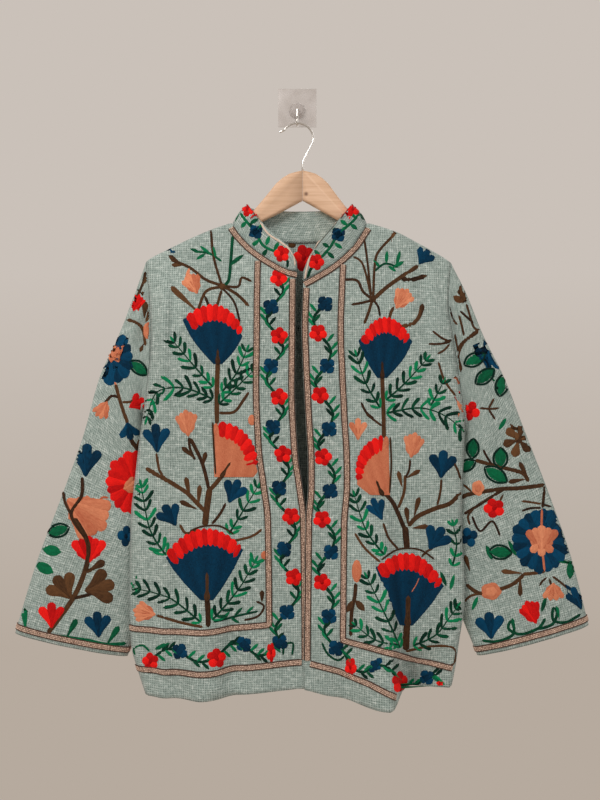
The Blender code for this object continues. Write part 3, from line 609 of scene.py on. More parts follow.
def inScene(name, data):
    obj = bpy.data.objects.new(name, data)
    bpy.context.scene.collection.objects.link(obj)
    return obj


# A piece rides its body and takes its node's place if it has one
def handedOver(obj, node=None):
    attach(obj, "root")
    if node:
        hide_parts(node)
    return obj


# Cloth pieces

topDrops = (0.0, 0.0008, 0.0022, 0.0045, 0.0075, 0.0115, 0.0165, 0.0230)
weaveWander = 0.00035       # small unevenness of the cloth
panelShape = {"frontColumns": 44, "backColumns": 80, "rows": 116, "topFade": 0.03, "sideFade": 0.04}
sleeveShape = {"halfSteps": 22, "rings": 92, "blend": 0.42, "ease": 0.0014, "easeShare": 0.8,
               "creaseFade": 0.05}
collarShape = {"levels": 10, "sunk": 0.09, "bulge": 0.003, "set": clothThick + 5 * seamGap,
               "frontSteps": 20, "backSteps": 24}


def wander(x, z, seed):
    return weaveWander * (sin(x * 83 + seed) * cos(z * 67 - seed) + sin(x * 141 + z * 119 + 2 * seed))


# A panel's grid of points, from its top to its hem, with its creases.
def panelRows(panel, columns, creaseName, forward, seed):
    lines = []
    for column in range(columns + 1):
        share = column / columns
        top = panel.topZ(panel.xAt(share, -0.2))
        for _ in range(8):
            top = panel.topZ(panel.xAt(share, top))
        hem = panel.hemZ(panel.xAt(share, backHemZ))
        start = top - topDrops[-1]
        even = panelShape["rows"] - len(topDrops)
        heights = [top - drop for drop in topDrops[:-1]]
        heights += [start + (hem - start) * i / even for i in range(even + 1)]
        line = []
        for z in heights:
            x = panel.xAt(share, z)
            point = panel.point(x, z)
            nearSide = min(share, 1 - share) / panelShape["sideFade"] + 0.2
            fade = min(1.0, (top - z) / panelShape["topFade"]) * min(1.0, nearSide)
            amount = creaseAt(creaseName, *pictureFlat(x, z)) + wander(x, z, seed)
            point.y += forward * amount * fade
            line.append(point)
        lines.append(line)
    return [list(row) for row in zip(*lines)]


# Rings from the armhole to the cuff. The first ring is the armhole of front and back.
def sleeveRings(side, creaseName):
    front, stations = fronts[side], sleeveCut[side]
    half = sleeveShape["halfSteps"]
    top = front.topZ(front.sideX(-0.245))
    arm = armpitZ[side]
    drops = [(i / half) ** 1.5 for i in range(half + 1)]
    heights = [top + (arm - top) * drop for drop in drops]
    frontEdge = [front.point(front.sideX(z), z) for z in heights]
    backEdge = [back.point(front.sideX(z), z) for z in heights]
    first, last = (frontEdge[0] + backEdge[0]) / 2, (frontEdge[-1] + backEdge[-1]) / 2
    loop = [first] + frontEdge[1:-1] + [last] + list(reversed(backEdge[1:-1]))
    count = len(loop)
    for j in range(count):
        down = min(j, count - j) / half
        ease = sleeveShape["ease"] * smoothstep(down, 0.0, sleeveShape["easeShare"])
        loop[j] = loop[j] + Vector((side * (seamGap + ease), 0, 0))
    axis = loop[half] - loop[0]
    shares = [(point - loop[0]).dot(axis) / axis.length_squared for point in loop]
    rests = [point - loop[0] - axis * share for point, share in zip(loop, shares)]
    rings = []
    for ring in range(sleeveShape["rings"] + 1):
        t = ring / sleeveShape["rings"]
        ox, oz, ix, iz, oy, iy, depth = (throughRows(stations, "t", key, t)
                                         for key in Station._fields[1:])
        start, end = Vector((ox, oy, oz)), Vector((ix, iy, iz))
        if ring == 0:
            start, end = loop[0], loop[half]
        blend = smoothstep(t, 0.0, sleeveShape["blend"])
        points = []
        for j in range(count):
            angle = 2 * pi * j / count
            along = shares[j] * (1 - blend) + (1 - cos(angle)) / 2 * blend
            oval = Vector((0, -depth * sin(angle), 0))
            point = start + (end - start) * along + rests[j] * (1 - blend) + oval * blend
            facing = sin(angle) if blend > 0.3 else (1 if 0 < j < half else -1)
            name = creaseName if facing > 0 else creaseName + "_rear"
            px, py = pictureFlat(point.x, point.z)
            amount = creaseAt(name, px, py) + wander(point.x, point.z, 3.0 * side)
            fade = min(1.0, t / sleeveShape["creaseFade"]) * min(1.0, 3 * abs(facing))
            point.y -= (1 if facing > 0 else -1) * amount * fade
            points.append(point)
        rings.append(points)
    return rings


# The collar's grid: from the neck seam up, from the left tip round the back to the right.
def collarRows():
    runs = {}
    for side, front in fronts.items():
        neck = front.cut["neck"]
        outs = spread(neck[0].x, neck[-1].x, collarShape["frontSteps"])
        outs[0] = side * front.edgeX(neck[0].z)
        runs[side] = [front.point(side * out, front.topZ(side * out)) for out in outs]
    width = backNeck[-1].x - backNeck[0].x
    steps = collarShape["backSteps"]
    behind = [backNeck[0].x + width * (0.025 + 0.95 * i / steps) for i in range(steps + 1)]
    line = runs[-1] + [back.point(x, back.topZ(x)) for x in behind] + list(reversed(runs[1]))
    base = []
    for i, point in enumerate(line):
        run = (line[min(i + 1, len(line) - 1)] - line[max(i - 1, 0)]).normalized()
        inward = neckCentre - point
        inward -= run * inward.dot(run)
        base.append(point + inward.normalized() * collarShape["set"])
    lengths = lengthsAlong(base)
    tops = [Vector([throughRows(collarTop, "u", key, length / lengths[-1]) for key in ("x", "y", "z")])
            for length in lengths]
    rows = []
    sunk = collarShape["sunk"]
    for level in range(collarShape["levels"] + 1):
        share = (1 + sunk) * level / collarShape["levels"] - sunk
        bulge = collarShape["bulge"] * sin(pi * max(share, 0.0))
        rows.append([point.lerp(top, share) + (point - neckCentre).normalized() * bulge
                     + Vector((0, wander(point.x * 2, point.z * 2, 5.0) * share, 0))
                     for point, top in zip(base, tops)])
    return rows


# A surface through a grid of points with its own flat places in metres, facing outside. An upright
# piece hangs with its threads straight down, the others follow their own run.
def clothForm(rows, outside, closed=False, upright=False):
    form = bmesh.new()
    weave = form.loops.layers.uv.new("weave")
    verts = [[form.verts.new(point) for point in row] for row in rows]
    across = len(rows[0])
    places = {}
    down = 0.0
    for i, row in enumerate(rows):
        middle = len(row) // 4
        if i:
            down += (row[middle] - rows[i - 1][middle]).length
        run = 0.0
        for j, point in enumerate(row):
            if j:
                run += (point - row[j - 1]).length
            places[i, j] = (point.x, point.z) if upright else (run, down)
        places[i, across] = (run + (row[0] - row[-1]).length, down)
    for i in range(len(rows) - 1):
        for j in range(across if closed else across - 1):
            k = (j + 1) % across
            face = form.faces.new((verts[i][j], verts[i + 1][j], verts[i + 1][k], verts[i][k]))
            corners = ((i, j), (i + 1, j), (i + 1, j + 1), (i, j + 1))
            for loop, corner in zip(face.loops, corners):
                loop[weave].uv = places[corner]
    form.normal_update()
    if sum(face.normal.dot(outside(face.calc_center_median())) for face in form.faces) < 0:
        bmesh.ops.reverse_faces(form, faces=form.faces)
        form.normal_update()
    return form


# A cloth surface that stitches are laid on.
class Ground:
    def __init__(self, form):
        form.verts.ensure_lookup_table()
        form.faces.ensure_lookup_table()
        self.tree = BVHTree.FromBMesh(form)
        self.corners = [[vert.index for vert in face.verts] for face in form.faces]
        self.places = [vert.co.copy() for vert in form.verts]
        self.normals = [vert.normal.copy() for vert in form.verts]

    def settled(self, place, index, rise, inner=False):
        corners = self.corners[index]
        weights = poly_3d_calc([self.places[corner] for corner in corners], place)
        normal = sum((self.normals[corner] * weight for corner, weight in zip(corners, weights)),
                     Vector())
        normal.normalize()
        return place + normal * (-rise if inner else clothThick + rise), normal

    # The place seen at a picture place, this far above the cloth.
    def seenAt(self, px, py, rise, rear=False, inner=False):
        start = rearEye if rear else eye
        way = -1 if rear else 1
        slope = unitSize / unitDepth
        ray = Vector(((px - pictureMiddle[0]) * slope, way, (pictureMiddle[1] - py) * slope))
        place, _, index, _ = self.tree.ray_cast(start, ray.normalized())
        if place is None:
            reach = unitDepth - (0.0 if rear else 0.02)
            place, _, index, _ = self.tree.find_nearest(start + ray * reach)
        return self.settled(place, index, rise, inner)[0]

    def nearest(self, point, rise):
        place, _, index, _ = self.tree.find_nearest(point)
        return self.settled(place, index, rise)


# The walled cloth of one piece in place of its CAD node, and its surface for stitching.
def clothPiece(name, rows, outside, closed=False, upright=False):
    form = clothForm(rows, outside, closed, upright)
    ground = Ground(form)
    mesh = bpy.data.meshes.new(name + "_cloth")
    form.to_mesh(mesh)
    form.free()
    mesh.shade_smooth()
    mesh.materials.append(materials["cloth"])
    obj = inScene(name + "_cloth", mesh)
    wall = obj.modifiers.new("Wall", "SOLIDIFY")
    wall.thickness = clothThick
    wall.offset = 1.0
    bpy.context.view_layer.update()
    solid = bpy.data.meshes.new_from_object(obj.evaluated_get(bpy.context.evaluated_depsgraph_get()))
    obj.modifiers.clear()
    obj.data = solid
    bpy.data.meshes.remove(mesh)
    return handedOver(obj, name), ground


def forwards(point):
    return Vector((0, -1, 0.15))


def backwards(point):
    return Vector((0, 1, 0.15))


grounds = {}
clothObjects = {}
grids = {
    "front_left": panelRows(fronts[-1], panelShape["frontColumns"], "front_left", -1, 1.0),
    "front_right": panelRows(fronts[1], panelShape["frontColumns"], "front_right", -1, 2.0),
    "back": panelRows(back, panelShape["backColumns"], "back", 1, 4.0),
}
for name, rows in grids.items():
    outside = backwards if name == "back" else forwards
    clothObjects[name], grounds[name] = clothPiece(name, rows, outside, upright=True)
for side, name in ((-1, "sleeve_left"), (1, "sleeve_right")):
    rings = sleeveRings(side, name)
    grids[name] = rings
    centres = [sum(ring, Vector()) / len(ring) for ring in rings]

    def outwards(point, centres=centres):
        return point - min(centres, key=lambda centre: (centre - point).length)

    clothObjects[name], grounds[name] = clothPiece(name, rings, outwards, closed=True)
grids["collar"] = collarRows()
clothObjects["collar"], grounds["collar"] = clothPiece("collar", grids["collar"],
                                                       lambda point: point - neckCentre)
print("cloth made")


# Braids: a flat band with rows of chain stitches, dark at both edges and tan between

braidRows = [  # place across the band, links' length and width, how dark
    (-0.0042, 0.0030, 0.0016, 1.0), (-0.0023, 0.0032, 0.0023, 0.0), (0.0, 0.0034, 0.0024, 0.0),
    (0.0023, 0.0032, 0.0023, 0.0), (0.0042, 0.0030, 0.0016, 1.0),
]
bandRise = 0.0006
linkRise = 0.0010
bandColumns = (-1.0, -0.8, 0.0, 0.8, 1.0)
linkSpacing = 0.78
linkUneven = (0.84, 1.16)     # smallest and largest link


# Chain links along lines: a small bead on each step, turned along the line.
def linkTree():
    tree = bpy.data.node_groups.new("Chain links", "GeometryNodeTree")
    sockets = tree.interface
    sockets.new_socket("Geometry", in_out="INPUT", socket_type="NodeSocketGeometry")
    for name in ("Length", "Width", "Spacing"):
        sockets.new_socket(name, in_out="INPUT", socket_type="NodeSocketFloat")
    sockets.new_socket("Material", in_out="INPUT", socket_type="NodeSocketMaterial")
    sockets.new_socket("Geometry", in_out="OUTPUT", socket_type="NodeSocketGeometry")
    start, end = tree.nodes.new("NodeGroupInput"), tree.nodes.new("NodeGroupOutput")

    def add(kind, values=(), **settings):
        node = tree.nodes.new(kind)
        for key, value in settings.items():
            setattr(node, key, value)
        for key, value in values:
            node.inputs[key].default_value = value
        return node

    curve = add("GeometryNodeMeshToCurve")
    steps = add("GeometryNodeResampleCurve", mode="LENGTH")
    bead = add("GeometryNodeMeshIcoSphere", [("Subdivisions", 1), ("Radius", 0.5)])
    tangent = add("GeometryNodeInputTangent")
    outward = add("GeometryNodeInputNamedAttribute", [("Name", "outward")], data_type="FLOAT_VECTOR")
    turned = add("FunctionNodeAxesToRotation", primary_axis="Y", secondary_axis="Z")
    uneven = add("FunctionNodeRandomValue", [(2, linkUneven[0]), (3, linkUneven[1]), ("Seed", 5)],
                 data_type="FLOAT")
    size = add("ShaderNodeCombineXYZ")
    scaled = add("ShaderNodeVectorMath", operation="SCALE")
    place = add("GeometryNodeInstanceOnPoints")
    real = add("GeometryNodeRealizeInstances")
    paint = add("GeometryNodeSetMaterial")
    for node, output, target, entry in (
            (start, "Geometry", curve, "Mesh"), (curve, "Curve", steps, "Curve"),
            (start, "Spacing", steps, "Length"), (steps, "Curve", place, "Points"),
            (bead, "Mesh", place, "Instance"), (tangent, 0, turned, "Primary Axis"),
            (outward, 0, turned, "Secondary Axis"), (turned, 0, place, "Rotation"),
            (start, "Width", size, "X"), (start, "Length", size, "Y"), (start, "Width", size, "Z"),
            (size, 0, scaled, 0), (uneven, 1, scaled, "Scale"), (scaled, 0, place, "Scale"),
            (place, "Instances", real, "Geometry"), (real, "Geometry", paint, "Geometry"),
            (start, "Material", paint, "Material"), (paint, "Geometry", end, "Geometry")):
        tree.links.new(node.outputs[output], target.inputs[entry])
    return tree


chainTree = linkTree()


# Beads along one line, as a plain mesh.
def linksAlong(points, normals, length, width, closed):
    mesh = bpy.data.meshes.new("line")
    edges = [(i, i + 1) for i in range(len(points) - 1)]
    if closed:
        edges.append((len(points) - 1, 0))
    mesh.from_pydata(points, edges, [])
    outward = mesh.attributes.new("outward", "FLOAT_VECTOR", "POINT")
    for i, normal in enumerate(normals):
        outward.data[i].vector = normal
    obj = bpy.data.objects.new("line", mesh)
    bpy.context.scene.collection.objects.link(obj)
    beads = obj.modifiers.new("Chain", "NODES")
    beads.node_group = chainTree
    values = {"Length": length, "Width": width, "Spacing": length * linkSpacing,
              "Material": materials["braid"]}
    for item in chainTree.interface.items_tree:
        if item.in_out == "INPUT" and item.name in values:
            beads[item.identifier] = values[item.name]
    bpy.context.view_layer.update()
    made = bpy.data.meshes.new_from_object(obj.evaluated_get(bpy.context.evaluated_depsgraph_get()))
    bpy.data.objects.remove(obj)
    bpy.data.meshes.remove(mesh)
    return made


# A braid in place of its CAD node. middle is its centreline, across the way to one edge.
def braidPiece(node, ground, middle, across, closed=False):
    form = bmesh.new()
    tone = form.verts.layers.float.new("tone")
    grid = []
    for point, way in zip(middle, across):
        row = []
        for share in bandColumns:
            rise = bandRise if abs(share) < 1 else -0.0002
            place, normal = ground.nearest(point + way * (share * braidWidth / 2), rise)
            vert = form.verts.new(place)
            vert[tone] = 1.0 if abs(share) > 0.7 else 0.25
            row.append(vert)
        grid.append(row)
    if closed:
        grid.append(grid[0])
    for above, under in zip(grid, grid[1:]):
        for j in range(len(bandColumns) - 1):
            form.faces.new((above[j], under[j], under[j + 1], above[j + 1]))
    bmesh.ops.recalc_face_normals(form, faces=form.faces)
    for offset, length, width, dark in braidRows:
        places, normals = [], []
        for point, way in zip(middle, across):
            place, normal = ground.nearest(point + way * offset, linkRise)
            places.append(place)
            normals.append(normal)
        beads = linksAlong(places, normals, length, width, closed)
        count = len(form.verts)
        form.from_mesh(beads)
        form.verts.ensure_lookup_table()
        for vert in form.verts[count:]:
            vert[tone] = dark
        bpy.data.meshes.remove(beads)
    mesh = bpy.data.meshes.new(node + "_chains")
    form.to_mesh(mesh)
    form.free()
    mesh.shade_smooth()
    mesh.materials.clear()
    mesh.materials.append(materials["braid"])
    mesh.polygons.foreach_set("material_index", [0] * len(mesh.polygons))
    handedOver(inScene(node + "_chains", mesh), node)


# A line of points at even steps.
def evened(points, step=0.004, closed=False):
    if closed:
        points = points + [points[0]]
    lengths = lengthsAlong(points)
    count = max(2, round(lengths[-1] / step))
    line, i = [], 0
    for k in range(count + (0 if closed else 1)):
        at = lengths[-1] * k / count
        while i < len(points) - 2 and lengths[i + 1] < at:
            i += 1
        span = max(lengths[i + 1] - lengths[i], 0.000001)
        line.append(points[i].lerp(points[i + 1], (at - lengths[i]) / span))
    return line


def waysAcross(line, ground, closed=False):
    ways = []
    for i, point in enumerate(line):
        before = line[i - 1] if i or closed else line[0]
        after = line[(i + 1) % len(line)] if i + 1 < len(line) or closed else line[-1]
        normal = ground.nearest(point, 0.0)[1]
        ways.append((after - before).normalized().cross(normal).normalized())
    return ways


def layBraid(node, groundName, points, closed=False):
    ground = grounds[groundName]
    line = evened(points, closed=closed)
    return braidPiece(node, ground, line, waysAcross(line, ground, closed), closed)


# Where the right front folds under, its braids follow their picture places
foldedBraids = {"right": {"hem": [(311, 663.5), (340, 671.5), (370, 684), (396, 698)],
                          "frame": [(343, 640), (365, 646), (400, 656), (430, 662), (452, 668)]}}


# Places on a cloth along straight runs between picture places.
def seenLine(groundName, places, count=16):
    line = []
    for (x0, y0), (x1, y1) in zip(places, places[1:]):
        for i in range(count):
            share = i / count
            line.append(grounds[groundName].seenAt(x0 + (x1 - x0) * share, y0 + (y1 - y0) * share, 0.0))
    return line


def layPanelBraids():
    for side, word in ((-1, "left"), (1, "right")):
        front = fronts[side]
        panel = "front_" + word
        half = braidWidth / 2
        neckZ = front.cut["neck"][0].z - edgeStart
        hem = front.hemZ(front.edgeX(backHemZ)) + hemBraidRise
        edge = [front.point(front.edgeX(z) + side * half, z) for z in spread(neckZ, hem + half, 120)]
        layBraid("braid_edge_" + word, panel, edge)
        folded = foldedBraids.get(word)
        xs = spread(front.edgeX(hem) + side * (braidWidth + 0.0005), front.sideX(hem), 60)
        low = seenLine(panel, folded["hem"]) if folded else \
            [front.point(x, front.hemZ(x) + hemBraidRise) for x in xs]
        layBraid("braid_hem_" + word, panel, low)
        inset = side * (borderWidth + half)
        topX = front.edgeX(-0.25) + inset
        level = front.hemZ(front.edgeX(backHemZ) + inset) + frameRise
        if folded:
            level = seenLine(panel, folded["frame"][:2])[0].z
        upright = [front.point(front.edgeX(z) + inset, z)
                   for z in spread(front.topZ(topX) - frameStart, level, 110)]
        cornerX = front.edgeX(level) + inset
        run = seenLine(panel, folded["frame"])[1:] if folded else \
            [front.point(x, front.hemZ(x) + frameRise)
             for x in spread(cornerX, front.sideX(level), 50)[1:]]
        layBraid("braid_frame_" + word, panel, upright + run)
        outs = spread(front.cut["neck"][0].x + 0.001, front.cut["neck"][-1].x - 0.001, 50)
        neck = []
        for out in outs:
            x = side * out
            slope = (front.topZ(x + 0.001) - front.topZ(x - 0.001)) / 0.002
            drop = half * sqrt(1 + slope * slope)
            neck.append(front.point(x, front.topZ(x) - drop))
        layBraid("braid_collar_" + word, panel, neck)
        rings = grids["sleeve_" + word]
        cuff = []
        for above, under in zip(rings[-6], rings[-1]):
            up = (above - under).normalized()
            cuff.append(under + up * (cuffStrip + half))
        layBraid("braid_cuff_" + word, "sleeve_" + word, cuff, closed=True)
    for name, rise in (("frame", frameRise), ("hem", hemBraidRise)):
        z = backHemZ + rise
        xs = spread(back.xAt(0.0, z), back.xAt(1.0, z), 90)
        layBraid("braid_%s_back" % name, "back", [back.point(x, z) for x in xs])
    xs = spread(backNeck[0].x + 0.004, backNeck[-1].x - 0.004, 50)
    layBraid("braid_collar_back", "back",
             [back.point(x, back.topZ(x) - braidWidth / 2) for x in xs])


layPanelBraids()
print("braids made")


# Stitched motifs. Sizes and places are in picture units; turns are in degrees, clockwise from up.

Fan = namedtuple("Fan", "body fringe left right foot innerLeft innerTop innerRight outerLeft outerTop "
                        "outerRight footWide bulge fingers")
layerRise = 0.00022
edgeSink = -0.00015
stemHeight, leafHeight, petalHeight = 0.0007, 0.0009, 0.0012
lineStep = 2.6
petalFoot = 0.1
fanHeight = 0.0018
fanRows, fanColumns = 12, 14
fernStep = 8.8
vineLeaves = ((0.28, 1), (0.40, -1), (0.52, 1), (0.64, -1), (0.76, 1))  # how far along, which side
vineLeafReach = {"side": 7.0, "up": 8.5, "along": 7.5}

profiles = {
    "stem": lambda t: 1.0,
    "taper": lambda t: 1.0 - 0.6 * t,
    "leaf": lambda t: 0.12 + 0.88 * sin(pi * min(max(t, 0.0), 1.0)) ** 0.7,
    "club": lambda t: 0.38 + 0.62 * smoothstep(t, 0.1, 0.75),
    "finger": lambda t: 0.72 + 0.28 * smoothstep(t, 0.0, 0.7),
}


# Places at even steps along a smooth line through the points.
def smoothLine(points, step=lineStep):
    if len(points) == 2:
        (x0, y0), (x1, y1) = points
        count = max(2, round(hypot(x1 - x0, y1 - y0) / step))
        return [(x0 + (x1 - x0) * i / count, y0 + (y1 - y0) * i / count) for i in range(count + 1)]
    line = []
    for i in range(len(points) - 1):
        before, start = points[max(i - 1, 0)], points[i]
        end, after = points[i + 1], points[min(i + 2, len(points) - 1)]
        count = max(1, round(hypot(end[0] - start[0], end[1] - start[1]) / step))
        for k in range(count):
            t = k / count
            line.append(tuple(0.5 * (2 * start[a] + (end[a] - before[a]) * t
                                     + (2 * before[a] - 5 * start[a] + 4 * end[a] - after[a]) * t ** 2
                                     + (3 * start[a] - before[a] - 3 * end[a] + after[a]) * t ** 3)
                              for a in (0, 1)))
    return line + [points[-1]]


# A motif's own place, right and up from its middle, on the picture.
def placed(x, y, right, up, turn):
    angle = radians(turn)
    return (x + right * cos(angle) + up * sin(angle), y + right * sin(angle) - up * cos(angle))


# Every row of one kind, with its yarn colour in front
def motifs(table, kind):
    return [(colour, *row) for colour, *rows in table.get(kind, []) for row in rows]


# Lays stitched shapes on one cloth piece, seen by the camera or from behind the jacket.
class Needle:
    def __init__(self, groundName, rear=False, seed=1, inner=False):
        self.ground = grounds[groundName]
        self.name = groundName + ("_rear" if rear else "_inner" if inner else "")
        self.rear, self.inner = rear, inner
        self.dice = random.Random(seed)
        self.patches = {}

    def tone(self, near=0.5, spread=0.25):
        return min(max(near + self.dice.uniform(-spread, spread), 0.0), 1.0)

    def spot(self, colour, px, py, rise, across, along, tone):
        patch = self.patches.setdefault(colour, {"verts": [], "faces": [], "places": [], "tones": []})
        patch["verts"].append(self.ground.seenAt(px, py, rise, self.rear, self.inner))
        patch["places"].append((across * unitSize, along * unitSize))
        patch["tones"].append(tone)
        return len(patch["verts"]) - 1

    # Faces between rows of spots.
    def weave(self, colour, rows):
        faces = self.patches[colour]["faces"]
        for above, under in zip(rows, rows[1:]):
            for j in range(len(above) - 1):
                faces.append((above[j], under[j], under[j + 1], above[j + 1]))

    def strip(self, colour, line, width, shape="stem", layer=0, tone=None, height=stemHeight):
        line = smoothLine(line)
        tone = self.tone() if tone is None else tone
        lengths = [0.0]
        for before, after in zip(line, line[1:]):
            lengths.append(lengths[-1] + hypot(after[0] - before[0], after[1] - before[1]))
        total = max(lengths[-1], 0.01)
        shares = (-1.0, 0.0, 1.0) if width < 7 else (-1.0, -0.55, 0.0, 0.55, 1.0)
        rows = []
        for i, (x, y) in enumerate(line):
            before, after = line[max(i - 1, 0)], line[min(i + 1, len(line) - 1)]
            run = max(hypot(after[0] - before[0], after[1] - before[1]), 0.001)
            nx, ny = (before[1] - after[1]) / run, (after[0] - before[0]) / run
            ends = min(lengths[i], total - lengths[i]) / (width / 2)
            wide = width / 2 * profiles[shape](lengths[i] / total) * (0.25 + 0.75 * quarterRound(ends))
            row = []
            for share in shares:
                domed = height * (1 - share * share) * (0.4 + 0.6 * quarterRound(ends))
                rise = layerRise * layer + (edgeSink if abs(share) == 1 else domed)
                row.append(self.spot(colour, x + nx * wide * share, y + ny * wide * share, rise,
                                     share * wide, lengths[i], tone))
            rows.append(row)
        self.weave(colour, rows)

    def disc(self, colour, x, y, wide, tall, lobes=0, depth=0.0, turn=0.0, layer=0, tone=None):
        tone = self.tone() if tone is None else tone
        around = max(12, lobes * 5)
        rings = []
        for share, lift in ((0.12, 1.0), (0.5, 0.9), (0.84, 0.55), (1.0, 0.0)):
            ring = []
            for k in range(around + 1):
                angle = 2 * pi * k / around
                reach = share * (1 - depth * (1 - abs(cos(lobes * angle / 2)))) if lobes else share
                px, py = placed(x, y, cos(angle) * wide / 2 * reach, sin(angle) * tall / 2 * reach, turn)
                rise = layerRise * layer + (petalHeight * lift if share < 1 else edgeSink)
                ring.append(self.spot(colour, px, py, rise, share * wide / 2,
                                      angle * wide / 2 * 0.7, tone))
            rings.append(ring)
        self.weave(colour, rings)
        self.patches[colour]["faces"].append(tuple(rings[0][:-1]))

    # A flower of small round petals, light and dark in turn.
    def berry(self, colour, x, y, wide, tall, count=5, turn=0.0):
        for k in range(count):
            angle = 360 * k / count + turn
            px, py = placed(x, y, 0.0, 0.29, angle)
            px, py = x + (px - x) * wide, y + (py - y) * tall
            self.disc(colour, px, py, wide * 0.50, tall * 0.50, layer=k % 2,
                      tone=self.tone(0.85 if k % 2 else 0.35, 0.12))
        self.disc(colour, x, y, wide * 0.26, tall * 0.26, layer=2, tone=self.tone(0.15, 0.1))

    # A flower of four blunt petals.
    def blocks(self, colour, x, y, wide, tall, turn):
        for k in range(4):
            angle = 90 * k + turn
            base = placed(x, y, 0.0, 1.0, angle)
            tip = placed(x, y, 0.0, (tall if k % 2 == 0 else wide) / 2, angle)
            self.strip(colour, [base, tip], wide * 0.62, "finger", layer=k % 2,
                       tone=self.tone(0.5, 0.3), height=petalHeight)
        self.disc(colour, x, y, wide * 0.62, tall * 0.62, layer=1, tone=self.tone(0.4, 0.1))

    # Petals that open upwards from one foot.
    def tulip(self, colour, x, y, wide, tall, turn, petals, layer=0):
        foot = placed(x, y, 0.0, -tall / 2, turn)
        self.disc(colour, *placed(x, y, 0.0, -tall * 0.08, turn), wide * (0.44 if petals < 4 else 0.74),
                  tall * (0.5 if petals < 4 else 0.66), turn=turn,
                  layer=layer, tone=self.tone(0.4, 0.12))
        for k in range(petals):
            lean = 2 * k / (petals - 1) - 1
            side = placed(x, y, lean * wide * 0.20, -tall * 0.10, turn)
            reach = 0.52 if petals < 4 else 0.44
            tip = placed(x, y, lean * wide * reach, tall * (0.5 - 0.20 * abs(lean)), turn)
            self.strip(colour, [foot, side, tip], wide * (0.40 if petals < 4 else 0.26), "club",
                       layer=layer + 1 + k % 2, tone=self.tone(0.55, 0.3), height=petalHeight)

    # A flower of long petals round its middle.
    def petals(self, colour, x, y, wide, tall, count, turn, fatness):
        for k in range(count):
            angle = 360 * k / count + turn
            reach = self.dice.uniform(0.93, 1.05)
            right, up = sin(radians(angle)), cos(radians(angle))
            base = (x + right * wide / 2 * petalFoot, y - up * tall / 2 * petalFoot)
            tip = (x + right * wide / 2 * reach, y - up * tall / 2 * reach)
            width = fatness * pi * (wide + tall) / 2 / count
            self.strip(colour, [base, tip], width, "club", k % 2,
                       self.tone(0.75 if k % 2 else 0.4, 0.15), petalHeight)
        self.disc(colour, x, y, wide * 0.24, tall * 0.24)

    def leaf(self, colour, base, tip, width, tone=None):
        self.strip(colour, [base, tip], width, "leaf", 0, tone, leafHeight)

    # A filled leaf with an outline
    def loop(self, base, tip, width):
        dx, dy = tip[0] - base[0], tip[1] - base[1]
        run = hypot(dx, dy)
        nx, ny = -dy / run * width / 2, dx / run * width / 2
        for side in (-1, 1):
            bulges = [(base[0] + dx * share + nx * side * out, base[1] + dy * share + ny * side * out)
                      for share, out in ((0.3, 0.9), (0.7, 0.85))]
            self.strip("green", [base, *bulges, tip], 2.2, layer=2, tone=0.0)
        self.leaf("green", (base[0] + dx * 0.08, base[1] + dy * 0.08),
                  (base[0] + dx * 0.95, base[1] + dy * 0.95), width * 0.86, self.tone(0.42, 0.15))

    # Paired leaflets along a curved spine, in short dark and light groups.
    def fern(self, line, length, bright):
        steps = smoothLine(line, fernStep)
        self.strip("green", line, 2.8, "taper", tone=0.15)
        for i, (x, y) in enumerate(steps):
            before, after = steps[max(i - 1, 0)], steps[min(i + 1, len(steps) - 1)]
            heading = atan2(after[1] - before[1], after[0] - before[0])
            share = i / max(len(steps) - 1, 1)
            reach = length * (1.05 + 0.28 * sin(pi * share)) * self.dice.uniform(0.8, 1.15)
            light = 0.9 if (i // 2) % 2 == 0 and self.dice.random() < bright + 0.25 else 0.12
            for side in (-1, 1):
                angle = heading + side * radians(self.dice.uniform(38, 56))
                middle = (x + cos(angle) * reach * 0.55, y + sin(angle) * reach * 0.55)
                angle -= side * 0.2
                tip = (middle[0] + cos(angle) * reach * 0.6, middle[1] + sin(angle) * reach * 0.6)
                self.strip("green", [(x, y), middle, tip], 3.8, "finger", layer=i % 2,
                           tone=self.tone(light, 0.12), height=leafHeight)
        last, end = steps[-2], steps[-1]
        run = max(hypot(end[0] - last[0], end[1] - last[1]), 0.01)
        tip = (end[0] + (end[0] - last[0]) / run * length, end[1] + (end[1] - last[1]) / run * length)
        self.strip("green", [end, tip], 3.3, "leaf", tone=self.tone(0.8, 0.1), height=leafHeight)

    # A fan: a cup of long stitches with a fringe of fingers round its upper edge.
    def fan(self, fan, outlines):
        under = tuple(fan.innerTop[a] * 0.6 + fan.outerTop[a] * 0.4 for a in (0, 1))

        def arc(start, top, end, share):
            mid = (2 * top[0] - (start[0] + end[0]) / 2, 2 * top[1] - (start[1] + end[1]) / 2)
            a, b, c = (1 - share) ** 2, 2 * share * (1 - share), share ** 2
            return (start[0] * a + mid[0] * b + end[0] * c, start[1] * a + mid[1] * b + end[1] * c)

